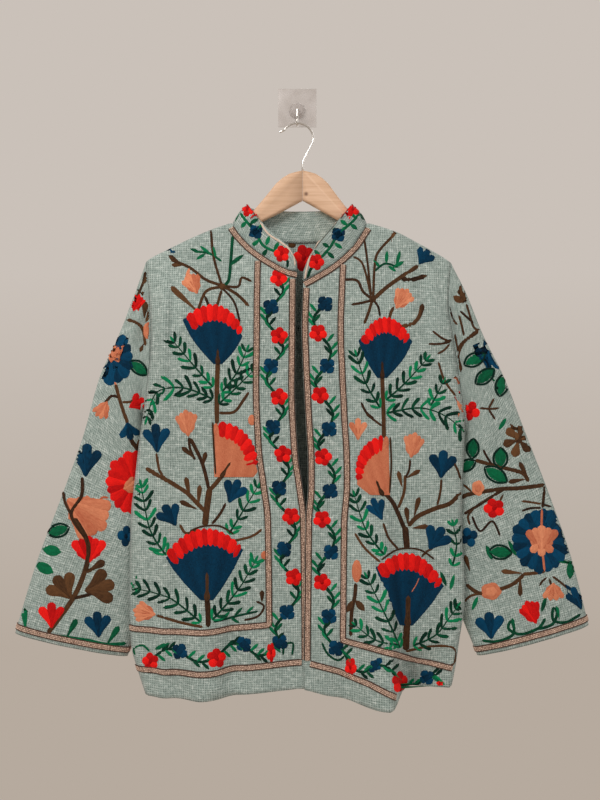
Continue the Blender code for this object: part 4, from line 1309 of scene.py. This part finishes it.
        rows = []
        for down in range(fanRows + 1):
            t = down / fanRows
            row = []
            for k in range(fanColumns + 1):
                share = k / fanColumns
                x, y = arc(fan.left, under, fan.right, share)
                fx = fan.foot[0] + (share - 0.5) * fan.footWide
                spread = 1 - t + fan.bulge * sin(pi * t)
                px = fx + (x - fx) * spread
                py = y + (fan.foot[1] - y) * t
                rim = min(1.0, 7 * share, 7 * (1 - share), 5 * t + 0.3, 5 * (1 - t) + 0.2)
                rise = edgeSink if share in (0, 1) else fanHeight * sqrt(max(rim, 0.0))
                ribs = 0.5 + 0.4 * sin(share * pi * 7)
                row.append(self.spot(fan.body, px, py, rise, py - y, share * 30, 0.30 + 0.2 * ribs))
            rows.append(row)
        self.weave(fan.body, rows)
        outer = fan.outerLeft, fan.outerTop, fan.outerRight
        for k in range(fan.fingers):
            share = (k + 0.5) / fan.fingers
            base = arc(fan.innerLeft, fan.innerTop, fan.innerRight, share)
            tip = arc(*outer, share)
            nearBy = arc(*outer, min(share + 1 / fan.fingers, 1.0))
            width = hypot(nearBy[0] - tip[0], nearBy[1] - tip[1]) * 1.06 + 0.8
            self.strip(fan.fringe, [base, tip], width, "stem", layer=5 + k % 2,
                       tone=self.tone(0.8 if k % 2 else 0.45, 0.12), height=petalHeight)
        for line in outlines:
            self.strip("brown", line, 1.8, layer=5, tone=0.2)

    # Flowers on a winding stem, with small leaves between them.
    def vine(self, flowers, swing, first, upright, size):
        side = first
        for start, end in zip(flowers, flowers[1:]):
            (x0, y0), (x1, y1) = start[1:3], end[1:3]
            middle = ((x0 + x1) / 2 + (swing * side if upright else 0),
                      (y0 + y1) / 2 + (0 if upright else swing * side))
            self.strip("green", [(x0, y0), middle, (x1, y1)], 3.6, tone=0.1)
            for share, lean in vineLeaves:
                x, y = x0 + (x1 - x0) * share, y0 + (y1 - y0) * share
                if upright:
                    x += swing * side * sin(pi * share)
                    tip = (x + lean * side * vineLeafReach["side"], y - vineLeafReach["up"])
                else:
                    y += swing * side * sin(pi * share)
                    tip = (x + vineLeafReach["along"], y - lean * side * vineLeafReach["side"])
                self.strip("green", [(x, y), tip], 3.3, "finger", 1,
                           self.tone(0.7 if lean > 0 else 0.1, 0.2), leafHeight)
            side = -side
        for flower in flowers:
            kind, x, y = flower[:3]
            wide = flower[3] if len(flower) > 3 else size
            tall = flower[4] if len(flower) > 4 else wide
            if kind == "red":
                self.berry("red", x, y, wide, tall, turn=self.dice.uniform(0, 70))
            else:
                self.blocks("blue", x, y, wide, tall, turn=self.dice.uniform(-14, 14) + 45)

    # All of a table's motifs, from the lowest layer to the highest.
    def design(self, table):
        for length, bright, *line in table.get("ferns", []):
            self.fern(line, length, bright)
        for colour, x, y, wide, tall, count, turn, fatness in motifs(table, "petals"):
            self.petals(colour, x, y, wide, tall, count, turn, fatness)
        for colour, width, *line in motifs(table, "stems"):
            self.strip(colour, line, max(width, 2.6) * 1.08, tone=self.tone(0.3, 0.25))
        for colour, base, tip, width in motifs(table, "leaves"):
            self.leaf(colour, base, tip, width)
        for colour, base, tip, width in motifs(table, "clubs"):
            self.strip(colour, [base, tip], width, "club", 1, None, leafHeight)
        for base, tip, width in table.get("loops", []):
            self.loop(base, tip, width)
        for colour, x, y, wide, tall, lobes, depth in motifs(table, "rounds"):
            self.disc(colour, x, y, wide, tall, lobes, depth, layer=1)
            if lobes:
                self.disc(colour, x, y, wide * 0.6, tall * 0.6, lobes, depth, layer=4)
        for colour, x, y, wide, tall, turn, petals in motifs(table, "tulips"):
            self.tulip(colour, x, y, wide, tall, turn, petals)
        for colour, x, y, wide, tall, count in motifs(table, "berries"):
            self.berry(colour, x, y, wide, tall, count, self.dice.uniform(0, 70))
        for row in table.get("fans", []):
            count = len(Fan._fields)
            self.fan(Fan(*row[:count]), row[count:])
        for colour, width, *line in motifs(table, "overStems"):
            self.strip(colour, line, width, layer=7, tone=self.tone(0.25, 0.1))
        for colour, x, y, wide, tall, turn, petals in motifs(table, "overTulips"):
            self.tulip(colour, x, y, wide, tall, turn, petals, layer=6)
        for swing, first, upright, size, *flowers in table.get("vines", []):
            self.vine(flowers, swing, first, upright, size)

    # One plain mesh for each yarn colour.
    def finish(self):
        for colour, patch in self.patches.items():
            name = "%s_stitches_%s" % (self.name, colour)
            mesh = bpy.data.meshes.new(name)
            mesh.from_pydata(patch["verts"], [], patch["faces"])
            stitch = mesh.uv_layers.new(name="stitch")
            corners = [0] * len(mesh.loops)
            mesh.loops.foreach_get("vertex_index", corners)
            flat = [value for corner in corners for value in patch["places"][corner]]
            stitch.data.foreach_set("uv", flat)
            tone = mesh.attributes.new("tone", "FLOAT", "POINT")
            tone.data.foreach_set("value", patch["tones"])
            mesh.materials.append(materials[colour])
            mesh.shade_smooth()
            handedOver(inScene(name, mesh))


# Tables of motifs. Most rows come in groups of one yarn colour.
# Stems: width, then the line. Leaves and clubs: foot, tip, width. Petals: middle, size, how many,
# turn, fatness. Rounds: middle, size, lobes, how deep. Tulips: middle, size, turn, petals. Berries:
# middle, size, how many. Ferns: leaflets' length, how bright, then the line. Loops: foot, tip, width.
# Vines: swing, first side, whether upright, flowers' size, then the flowers. Fans: as named in Fan.

# The left front's motifs
leftFront = {
    "vines": [(8, 1, True, 17, ("red", 279, 278), ("blue", 271, 307), ("red", 279, 336),
        ("blue", 271, 366), ("red", 279, 397), ("blue", 273, 427), ("red", 283, 454),
        ("blue", 279, 488), ("red", 291, 516), ("blue", 284, 549), ("red", 294, 577),
        ("blue", 287, 612), ("blue", 280, 642)), (7, -1, False, 17, ("blue", 280, 642, 1, 1),
        ("red", 271, 652, 9, 19), ("blue", 244, 644, 17, 16), ("red", 216, 658, 18, 19),
        ("blue", 180, 651, 17, 17), ("red", 151, 661, 16, 17))],
    "fans": [
        ("blue", "red", (182, 320), (243, 337), (218, 364), (195, 332), (217, 322), (240, 337),
         (186, 316), (219, 305), (243, 330), 9, 0.12, 10),
        ("salmon", "red", (213, 425), (258, 472), (234, 477), (220, 438), (238, 447), (245, 468),
         (219, 421), (247, 434), (259, 466), 40, 0.02, 9, [(213, 422), (214, 448), (216, 474)]),
        ("blue", "red", (165, 558), (244, 550), (207, 600), (176, 566), (206, 546), (236, 559),
         (166, 552), (204, 528), (243, 547), 13, 0.06, 13, [(190, 531), (203, 526), (220, 526),
         (234, 534)]),
    ],
    "stems": [
        ("brown", (3.4, (222.5, 286), (206, 280), (190, 268), (171, 260)), (3, (211, 230), (214, 258),
         (222, 286))),
        ("green", (3.6, (233, 236), (231, 260), (229, 280), (223, 287))),
        ("brown", (3, (222, 286), (238, 287), (242, 278), (252, 282)), (3.6, (222, 286), (236, 294),
         (247, 304)), (2, (222, 288), (234, 302), (240, 322)), (3.2, (205, 296), (210, 309)), (3.2,
         (222, 290), (217, 307)), (3.4, (222, 287), (206, 292), (198, 312))),
        ("green", (2.2, (222, 262), (210, 254), (194, 252))),
        ("brown", (5.4, (218, 362), (217, 390), (217, 424)), (3.4, (219, 413), (234, 412), (243, 401),
         (249, 392)), (3, (157, 453), (160, 470), (166, 480)), (3, (189, 437), (190, 448), (195, 460)),
         (6.6, (205, 526), (207, 508), (210, 488)), (5, (210, 490), (221, 477), (230, 461)), (4.8,
         (206, 512), (197, 503), (186, 492), (165, 479), (146, 468)), (4.2, (209, 489), (203, 465),
         (195, 447), (190, 438)), (3.2, (226, 503), (220, 514), (212, 524)), (3.2, (180, 524),
         (186, 533), (198, 530)), (6.2, (207, 597), (208, 612), (208, 627)), (3, (233, 541), (252, 536),
         (262, 529)), (3.2, (157, 615), (180, 622), (203, 627))),
        ("green", (2.2, (213, 622), (236, 616), (258, 611))),
        ("brown", (2.4, (244, 620), (258, 616), (264, 606), (256, 601))),
        ("green", (2.2, (136, 655), (135, 648), (143, 645), (150, 651)), (2.4, (283, 655), (285, 645),
         (293, 643), (292, 655))),
    ],
    "overStems": [("brown", (5, (218, 349), (218, 365)), (5.8, (207, 572), (207, 601)), (4.4,
        (231, 462), (226, 469), (221, 478)))],
    "clubs": [("brown", ((180, 263), (169, 256), 4.6), ((182, 266), (172, 265), 4.6), ((198, 312),
        (171, 287), 5.8), ((190, 499), (186, 477), 5), ((198, 507), (200, 485), 5), ((197, 509),
        (180, 501), 5), ((196, 459), (182, 447), 4.8), ((203, 466), (206, 452), 4.8), ((262, 602),
        (262, 590), 5), ((244, 302), (249, 306), 5.2))],
    "leaves": [
        ("green", ((229, 266), (244, 255), 5), ((212, 256), (200, 246), 4), ((206, 254), (196, 260), 4),
         ((216, 259), (213, 246), 4), ((199, 252), (190, 249), 3.6), ((155, 649), (170, 643), 6),
         ((222, 619), (230, 611), 3.6), ((234, 616), (243, 607), 3.6), ((230, 617), (240, 623), 3.6),
         ((246, 613), (254, 606), 3.4)),
        ("blue", ((176, 253), (165, 249), 6.5)),
        ("salmon", ((190, 268), (186, 280), 4)),
    ],
    "ferns": [(9, 0.5, (213, 387), (196, 368), (175, 343)), (9, 0.6, (222, 392), (236, 374),
        (246, 352)), (10, 0.5, (213, 399), (184, 388), (158, 392), (148, 416)), (8, 0.4, (219, 404),
        (236, 388), (252, 372)), (10, 0.55, (166, 555), (150, 528), (142, 488)), (9, 0.5, (229, 534),
        (243, 511), (257, 488)), (9.5, 0.5, (201, 622), (170, 598), (135, 588)), (9.5, 0.55, (212, 620),
        (238, 590), (254, 563))],
    "rounds": [
        ("salmon", (252, 420, 8, 11, 0, 0)),
        ("brown", (222.5, 287, 7, 7, 0, 0)),
        ("salmon", (265, 555, 8, 9, 0, 0), (216, 430, 6, 14, 0, 0)),
    ],
    "tulips": [
        ("salmon", (193, 284, 20, 22, -24, 5), (187, 423, 22, 27, -6, 5)),
        ("blue", (157, 438, 22, 29, -4, 3), (234, 491, 21, 25, 24, 3), (170, 515, 21, 24, -30, 3)),
        ("salmon", (145, 612, 21, 23, -78, 5)),
    ],
}

# The right front's motifs
rightFront = {
    "vines": [(8, -1, True, 17, ("blue", 325, 304), ("red", 318, 333), ("blue", 327, 366),
        ("red", 320, 395), ("blue", 329, 429), ("red", 323, 457), ("blue", 330, 491), ("red", 322, 519),
        ("blue", 331, 552), ("red", 322, 582), ("blue", 329, 616), ("blue", 336, 648)), (6, -1, False,
        17, ("blue", 336, 648, 1, 1), ("red", 351, 667, 12, 19), ("blue", 376, 665, 12, 18),
        ("red", 399, 682, 15, 21), ("blue", 427, 677, 16, 16), ("red", 440, 683, 7, 5))],
    "fans": [
        ("blue", "red", (358, 341), (413, 342), (382, 378), (367, 347), (386, 334), (405, 346),
         (361, 339), (384, 317), (411, 337), 10, 0.12, 11),
        ("salmon", "red", (357, 485), (389, 438), (380, 495), (364, 480), (368, 462), (383, 452),
         (356, 480), (361, 450), (384, 434), 20, 0.02, 9, [(390, 437), (391, 465), (389, 493)]),
        ("blue", "red", (375, 567), (444, 586), (406, 625), (385, 579), (411, 571), (436, 590),
         (377, 566), (412, 553), (443, 582), 14, 0.06, 11, [(381, 560), (393, 551), (406, 548),
         (421, 550), (434, 559)]),
    ],
    "stems": [
        ("brown", (3, (351, 305), (362, 303), (374, 300)), (3.2, (344, 280), (357, 281), (363, 292),
         (373, 300)), (2.6, (353, 257), (361, 262), (366, 275), (371, 298)), (2.2, (363, 232),
         (367, 260), (371, 296)), (3, (394, 235), (380, 250), (375, 262), (373, 298)), (3.4, (372, 300),
         (369, 311), (364, 324)), (2.6, (373, 300), (378, 307), (380, 317)), (4.6, (374, 299),
         (386, 288), (400, 278), (412, 270), (418, 266)), (5, (401, 279), (412, 280), (425, 276))),
        ("green", (2.2, (374, 272), (385, 264), (398, 268))),
        ("brown", (3.6, (394, 307), (391, 312), (389, 320)), (4.6, (421, 305), (419, 316), (412, 324),
         (400, 327)), (4.8, (382, 375), (383, 402), (384, 438)), (2.8, (361, 402), (366, 412),
         (374, 419)), (2.6, (366, 414), (374, 420), (382, 426)), (2.6, (410, 459), (409, 470),
         (405, 478)), (3.4, (405, 475), (404, 492), (398, 508)), (6.6, (407, 549), (406, 538),
         (405, 526)), (5, (405, 530), (394, 505), (384, 492), (376, 479)), (5.2, (408, 526), (418, 516),
         (436, 508), (450, 503), (460, 492)), (2.8, (441, 479), (440, 492), (437, 505)), (2.8,
         (383, 523), (388, 538), (398, 549)), (2.8, (433, 548), (427, 551), (421, 557)), (2.8,
         (355, 533), (365, 548), (380, 562)), (7.4, (407, 622), (406, 636), (405, 650)), (2, (405, 651),
         (428, 646), (452, 647), (455, 658), (449, 668)), (4.4, (356, 583), (355, 597), (352, 612),
         (351, 636)), (2.4, (432, 331), (441, 338), (450, 342)), (2.4, (428, 344), (440, 344),
         (450, 342)), (2.4, (437, 354), (444, 350), (449, 344)), (2.2, (438, 362), (444, 380),
         (455, 396))),
        ("green", (2.4, (322, 642), (328, 654), (338, 660), (345, 655))),
        ("brown", (2.4, (452, 460), (457, 470), (460, 480))),
    ],
    "overStems": [
        ("brown", (4.6, (382, 361), (382, 379)), (7, (408, 595), (407, 626)), (4.4, (376, 480),
         (379, 488), (383, 496))),
        ("salmon", (1.8, (411, 592), (416, 584), (419, 577))),
    ],
    "clubs": [("brown", ((390, 240), (396, 231), 4.8), ((421, 277), (427, 276), 4.2), ((402, 487),
        (398, 471), 4.6), ((406, 478), (420, 470), 4.6), ((414, 516), (419, 497), 5), ((408, 525),
        (406, 507), 5), ((412, 528), (428, 526), 5), ((420, 318), (422, 304), 5.4), ((448, 342),
        (455, 337), 4.4))],
    "leaves": [
        ("green", ((386, 264), (387, 251), 4.4), ((396, 266), (400, 251), 4.4), ((392, 268), (404, 262),
         5), ((380, 268), (373, 260), 4), ((388, 266), (396, 272), 4)),
        ("brown", ((354, 600), (347, 612), 7), ((356, 600), (365, 611), 7.5)),
        ("green", ((446, 586), (440, 571), 5), ((450, 590), (454, 574), 5)),
        ("salmon", ((456, 400), (466, 419), 5), ((455, 376), (460, 386), 5.5)),
        ("red", ((458, 391), (464, 401), 5)),
    ],
    "ferns": [(9, 0.5, (380, 408), (366, 384), (357, 357)), (9, 0.5, (386, 400), (404, 384),
        (425, 361)), (10, 0.45, (386, 413), (420, 408), (445, 416), (460, 428)), (8, 0.6, (430, 406),
        (437, 394), (442, 384)), (8.5, 0.5, (384, 555), (366, 530), (355, 497)), (9, 0.5, (399, 648),
        (384, 612), (368, 579)), (8.5, 0.5, (398, 645), (376, 640), (357, 626)), (9.5, 0.5, (413, 645),
        (436, 634), (455, 609)), (8, 0.6, (452, 566), (456, 545), (453, 526))],
    "rounds": [
        ("brown", (372.5, 299.5, 7, 7, 0, 0)),
        ("salmon", (357, 571, 10, 23, 0, 0), (386, 443, 6, 14, 0, 0)),
    ],
    "tulips": [
        ("salmon", (402, 299, 21, 23, 32, 5), (358, 429, 15, 22, 0, 3)),
        ("blue", (424, 257, 17, 18, 34, 3)),
        ("salmon", (413, 445, 21, 26, 10, 5)),
        ("blue", (442, 464, 23, 28, 6, 3), (377, 509, 16, 24, -24, 3), (436, 538, 24, 26, 32, 3)),
    ],
}

# The left sleeve's motifs
leftSleeve = {
    "petals": [
        ("blue", (113, 358, 42, 54, 14, 8, 1.25)),
        ("red", (134, 483, 56, 64, 20, 4, 1.15)),
    ],
    "stems": [
        ("brown", (3, (146, 272), (143, 284), (137, 298)), (3.6, (127, 320), (135, 322), (143, 330),
         (146, 346))),
        ("salmon", (2.4, (110, 366), (113, 378), (117, 386))),
        ("brown", (4, (116, 384), (120, 400), (128, 424)), (3.4, (120, 398), (112, 396), (105, 404)),
         (3, (122, 402), (130, 402), (136, 398)), (5, (128, 424), (131, 440), (140, 452)), (5.6,
         (88, 562), (82, 580), (72, 600), (58, 620), (48, 633)), (4, (74, 598), (90, 594), (104, 586)),
         (3.6, (72, 598), (66, 590)), (4.4, (86, 572), (94, 568), (102, 562))),
        ("green", (4, (18, 629), (42, 634), (66, 637), (88, 640), (106, 644), (126, 643))),
        ("salmon", (2, (100, 499), (104, 497), (109, 498))),
    ],
    "clubs": [
        ("brown", ((142, 286), (149, 276), 4.2), ((140, 292), (133, 284), 4.2), ((146, 322), (156, 304),
         9), ((144, 318), (146, 302), 7), ((144, 344), (140, 352), 4.6), ((136, 446), (142, 440), 7)),
        ("green", ((26, 631), (25, 608), 6), ((67, 637), (77, 619), 6), ((107, 644), (119, 626), 6)),
        ("brown", ((90, 570), (105, 561), 8)),
    ],
    "leaves": [("green", ((62, 552), (43, 549), 12), ((54, 573), (36, 563), 12))],
    "loops": [((130, 361), (148, 375), 12), ((70, 527), (48, 534), 13)],
    "rounds": [("salmon", (149, 331, 13, 17, 0, 0))],
    "berries": [("blue", (126, 536, 16, 20, 4))],
    "tulips": [
        ("blue", (87, 460, 24, 33, 4, 3)),
        ("red", (52, 615, 22, 26, 0, 3)),
        ("blue", (98, 624, 22, 26, -4, 3)),
        ("red", (89, 549, 36, 27, 0, 5)),
        ("salmon", (87, 514, 48, 48, 128, 5)),
        ("brown", (63, 587, 28, 27, -35, 3), (100, 587, 30, 30, 76, 3)),
        ("red", (137, 403, 16, 18, 60, 3)),
        ("blue", (129, 431, 17, 18, 170, 3)),
        ("salmon", (103, 410, 17, 20, -150, 4)),
        ("red", (137, 303, 16, 18, 20, 5)),
    ],
    "overTulips": [("salmon", (113, 353, 15, 20, 4, 4), (131, 486, 18, 16, 70, 4))],
    "overStems": [("brown", (3.2, (83, 477), (82, 496), (72, 515), (86, 538)), (2.6, (65, 492),
        (66, 502), (72, 515)), (4.6, (75, 518), (86, 537), (89, 550), (86, 570)))],
}

# The right sleeve's motifs
rightSleeve = {
    "stems": [
        ("brown", (2, (466, 304), (473, 327), (479, 330)), (2.4, (460, 311), (467, 318), (473, 323)),
         (2.4, (459, 315), (462, 326), (464, 336)), (2.6, (447, 306), (451, 318), (458, 325)), (4.8,
         (478, 331), (464, 342), (457, 356), (458, 368)), (2.4, (479, 408), (490, 409), (499, 408)),
         (2.2, (488, 409), (494, 398)), (2.2, (488, 409), (495, 420)), (4.4, (475, 460), (500, 467),
         (522, 473), (528, 482)), (2.4, (483, 449), (487, 457), (492, 465)), (4.8, (544, 485),
         (520, 488), (500, 489), (470, 494), (461, 498)), (3.6, (505, 488), (480, 504), (464, 514)),
         (2.4, (463, 484), (472, 492)), (2.4, (541, 504), (530, 502), (521, 501)), (2.4, (541, 508),
         (531, 508), (521, 511)), (2.4, (541, 504), (551, 507)), (2.2, (503, 494), (499, 502)), (2.2,
         (474, 508), (468, 516), (470, 525)), (2.2, (472, 516), (480, 531), (492, 521), (500, 536)),
         (4.4, (524, 574), (514, 583), (500, 589), (480, 593), (466, 584)), (2.8, (480, 593),
         (470, 596), (464, 602)), (2.2, (547, 577), (542, 581), (539, 586)), (2.2, (549, 578),
         (551, 586)), (2.2, (552, 576), (560, 582), (567, 588)), (4, (545, 571), (534, 573),
         (522, 574)), (3.4, (544, 486), (543, 498), (542, 508))),
        ("green", (3.4, (482, 640), (497, 641), (513, 634), (512, 620), (508, 628), (520, 634),
         (538, 628), (545, 618)), (3.4, (538, 629), (552, 624), (557, 612), (553, 608), (553, 620),
         (566, 622), (580, 614))),
    ],
    "clubs": [
        ("brown", ((456, 352), (453, 335), 4.8), ((459, 358), (459, 372), 7), ((528, 479), (519, 462),
         4.8), ((525, 479), (508, 482), 4.8), ((470, 571), (465, 555), 4.8), ((522, 573), (501, 571),
         4.8), ((520, 577), (520, 596), 4.8)),
        ("green", ((514, 631), (512, 618), 4), ((559, 619), (556, 606), 4)),
    ],
    "leaves": [
        ("brown", ((463, 303), (453, 296), 7.5), ((464, 302), (460, 284), 7.5), ((465, 303), (467, 290),
         6)),
        ("green", ((569, 579), (571, 559), 9), ((541, 612), (546, 596), 5)),
        ("blue", ((483, 340), (494, 356), 10), ((487, 350), (498, 370), 9)),
        ("green", ((498, 430), (506, 418), 5), ((486, 545), (492, 560), 6), ((472, 610), (478, 596), 5),
         ((516, 556), (508, 540), 5)),
    ],
    "loops": [((464, 365), (485, 354), 13), ((475, 384), (494, 369), 13), ((499, 397), (503, 374), 12),
        ((472, 459), (474, 438), 12), ((476, 461), (457, 470), 11), ((500, 469), (500, 447), 14),
        ((484, 467), (507, 482), 14), ((488, 551), (512, 553), 14)],
    "petals": [
        ("brown", (518, 440, 33, 34, 6, 14, 0.55)),
        ("blue", (541, 540, 60, 66, 20, 4, 1.3)),
    ],
    "rounds": [
        ("blue", (541, 540, 51, 56, 0, 0)),
        ("salmon", (478, 488, 13, 16, 5, 0.14), (491, 591, 21, 18, 5, 0.14)),
    ],
    "tulips": [
        ("blue", (490, 625, 24, 27, -6, 3)),
        ("red", (531, 612, 22, 25, -24, 5)),
        ("blue", (576, 598, 16, 24, -22, 3)),
        ("salmon", (553, 592, 22, 19, 180, 4)),
    ],
    "overTulips": [("salmon", (541, 538, 33, 26, 0, 5), (541, 546, 20, 20, 180, 3))],
    "overStems": [("salmon", (2.2, (541, 509), (541, 528)), (2.2, (542, 552), (544, 571)))],
    "berries": [
        ("red", (471, 411, 17, 19, 4), (494, 508, 20, 19, 5)),
        ("blue", (469, 537, 17, 19, 4)),
    ],
}

# The collar's motifs
collarLeft = {
    "berries": [("red", (248, 210, 13, 14, 4), (282, 254, 15, 16, 5))],
    "vines": [(0.5, 1, True, 15, ("blue", 256, 232, 15, 15), ("blue", 256, 232, 15, 15))],
    "stems": [("green", (3.2, (240, 213), (247, 222), (256, 232), (264, 246), (282, 254)), (3.2,
        (282, 254), (288, 262), (287, 268)))],
    "leaves": [("green", ((247, 222), (241, 228), 5), ((250, 224), (259, 219), 5), ((266, 246),
        (270, 236), 5), ((268, 249), (262, 257), 5), ((240, 214), (236, 222), 5), ((274, 251),
        (279, 242), 5), ((260, 240), (251, 247), 5), ((245, 218), (252, 208), 4.6))],
    "overStems": [("tan", (1.7, (253, 205), (266, 231), (280, 242), (288, 248), (294.5, 257),
        (295.5, 266)))],
}
collarRight = {
    "berries": [("red", (352, 210, 13, 14, 4), (316, 262, 15, 16, 5))],
    "vines": [(0.5, 1, True, 15, ("blue", 338, 235, 15, 15), ("blue", 338, 235, 15, 15))],
    "stems": [("green", (3.2, (360, 213), (352, 222), (338, 235), (328, 250), (316, 262)), (3.2,
        (316, 262), (310, 270), (307, 278)))],
    "leaves": [("green", ((350, 224), (357, 230), 5), ((347, 226), (340, 220), 5), ((329, 248),
        (322, 243), 5), ((327, 252), (334, 259), 5), ((360, 214), (364, 221), 5), ((320, 257),
        (314, 250), 5), ((334, 243), (342, 249), 5), ((355, 219), (348, 209), 4.6))],
    "overStems": [("tan", (1.7, (347, 205), (337, 220), (320, 240), (311, 253), (306, 270),
        (303, 284)))],
}

# The back repeats the fronts' motifs with a row of flowers down the middle
backMiddle = {
    "vines": [(8, 1, True, 17, ("red", 302, 262), ("blue", 302, 292), ("red", 302, 322),
        ("blue", 302, 352), ("red", 302, 382), ("blue", 302, 412), ("red", 302, 442),
        ("blue", 302, 472), ("red", 302, 502), ("blue", 302, 532), ("red", 302, 562),
        ("blue", 302, 592)), (7, 1, False, 17, ("red", 146, 650), ("blue", 180, 654), ("red", 215, 650),
        ("blue", 250, 654), ("red", 285, 650), ("blue", 320, 654), ("red", 355, 650),
        ("blue", 390, 654), ("red", 425, 650), ("blue", 452, 654, 14, 16))],
    "berries": [("red", (285, 285, 1, 1, 4))],
}
noVines = {"vines": []}
backInside = {
    "berries": [("red", (304, 258, 21, 26, 5))],
    "rounds": [("brown", (292, 245, 8, 6, 0, 0))],
}


def stitchAll():
    works = [
        ("front_left", False, 11, [leftFront]), ("front_right", False, 12, [rightFront]),
        ("sleeve_left", False, 13, [leftSleeve]), ("sleeve_right", False, 14, [rightSleeve]),
        ("collar", False, 15, [collarLeft, collarRight]),
        ("back", True, 16, [{**leftFront, **noVines}, {**rightFront, **noVines}, backMiddle]),
        ("sleeve_left", True, 17, [leftSleeve]), ("sleeve_right", True, 18, [rightSleeve]),
    ]
    for groundName, rear, seed, tables in works:
        needle = Needle(groundName, rear, seed)
        for table in tables:
            needle.design(table)
        needle.finish()
    reverse = Needle("back", seed=19, inner=True)
    reverse.design(backInside)
    reverse.finish()


stitchAll()
print("stitches laid")


# Hanger and wall hook: smooth, merged copies of the CAD solids

def hardPiece(node, material, bevelAngle=35):
    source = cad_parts[node]
    form = bmesh.new()
    form.from_mesh(source.data)
    bmesh.ops.remove_doubles(form, verts=form.verts, dist=0.00001)
    mesh = bpy.data.meshes.new(node + "_smooth")
    form.to_mesh(mesh)
    form.free()
    mesh.materials.clear()
    mesh.materials.append(material)
    for polygon in mesh.polygons:
        polygon.material_index = 0
    mesh.shade_smooth()
    mesh.set_sharp_from_angle(angle=radians(bevelAngle))
    handedOver(inScene(node + "_smooth", mesh), node)


hardLooks = {
    "hanger_arm_left": ("wood", "hanger_wood"), "hanger_arm_right": ("wood", "hanger_wood"),
    "hanger_hook": ("wire", "wire"), "wall_hook": ("wire", "wire"),
    "wall_plate": ("clear", "clear_plastic"), "wall_boss": ("clear", "clear_plastic"),
}
for node, (look, slotName) in hardLooks.items():
    hardPiece(node, materials[look])
print("hanger and wall hook made")


# Floor, light and camera

floorLook = {"level": -2.1, "size": 2.4, "colour": fromScreen(190, 180, 171)}
backdrop = {"lowColour": fromScreen(182, 170, 158), "highColour": fromScreen(202, 193, 185),
            "low": -0.26, "high": 0.14, "strength": 1.0}
lamps = {
    "Key": {"place": (-1.5, -2.2, 1.3), "size": 1.3, "power": 58, "colour": (1.0, 0.97, 0.93)},
    "Fill": {"place": (2.1, -2.0, -0.2), "size": 2.2, "power": 14, "colour": (0.95, 0.98, 1.0)},
    "Rear": {"place": (0.5, 2.4, 0.9), "size": 2.0, "power": 34, "colour": (1.0, 0.98, 0.96)},
}
lookAt = Vector((0.0, -0.04, -0.47))


def floorMaterial():
    shade = Shade("Plain floor", Roughness=0.9)
    x, y = shade.placeInSpace()[:2]
    cloudy = shade.noise(x * 1.3, y * 1.3)
    shade.feed("Base Color", shade.mixed(cloudy.between(0.2, 0.8), floorLook["colour"],
                                         fromScreen(196, 187, 179)))
    return shade.material


def makeStage():
    mesh = bpy.data.meshes.new("Floor")
    half = floorLook["size"] / 2
    corners = [(-half, -half), (half, -half), (half, half), (-half, half)]
    mesh.from_pydata([(x, y, floorLook["level"]) for x, y in corners], [], [(0, 1, 2, 3)])
    mesh.materials.append(floorMaterial())
    inScene("Floor", mesh)
    for name, lamp in lamps.items():
        light = bpy.data.lights.new(name, "AREA")
        light.size = lamp["size"]
        light.energy = lamp["power"]
        light.color = lamp["colour"]
        obj = inScene(name, light)
        obj.location = lamp["place"]
        obj.rotation_euler = (lookAt - obj.location).to_track_quat("-Z", "Y").to_euler()
    world = bpy.data.worlds.new("Studio")
    bpy.context.scene.world = world
    world.use_nodes = True
    surround = world.node_tree.nodes["Background"]
    nodes, links = world.node_tree.nodes, world.node_tree.links
    place = nodes.new("ShaderNodeTexCoord")
    height = nodes.new("ShaderNodeSeparateXYZ")
    blend = nodes.new("ShaderNodeMapRange")
    blend.inputs[1].default_value = backdrop["low"]
    blend.inputs[2].default_value = backdrop["high"]
    mix = nodes.new("ShaderNodeMix")
    mix.data_type = "RGBA"
    mix.inputs[6].default_value = backdrop["lowColour"]
    mix.inputs[7].default_value = backdrop["highColour"]
    links.new(place.outputs["Generated"], height.inputs[0])
    links.new(height.outputs[2], blend.inputs[0])
    links.new(blend.outputs[0], mix.inputs[0])
    links.new(mix.outputs[2], surround.inputs[0])
    surround.inputs[1].default_value = backdrop["strength"]
    camera = bpy.data.cameras.new("Camera")
    camera.lens = lensLength
    obj = inScene("Camera", camera)
    obj.location = eye
    obj.rotation_euler = (pi / 2, 0, 0)
    bpy.context.scene.camera = obj
    bpy.context.scene.view_settings.view_transform = "Standard"


makeStage()
print("stage made")
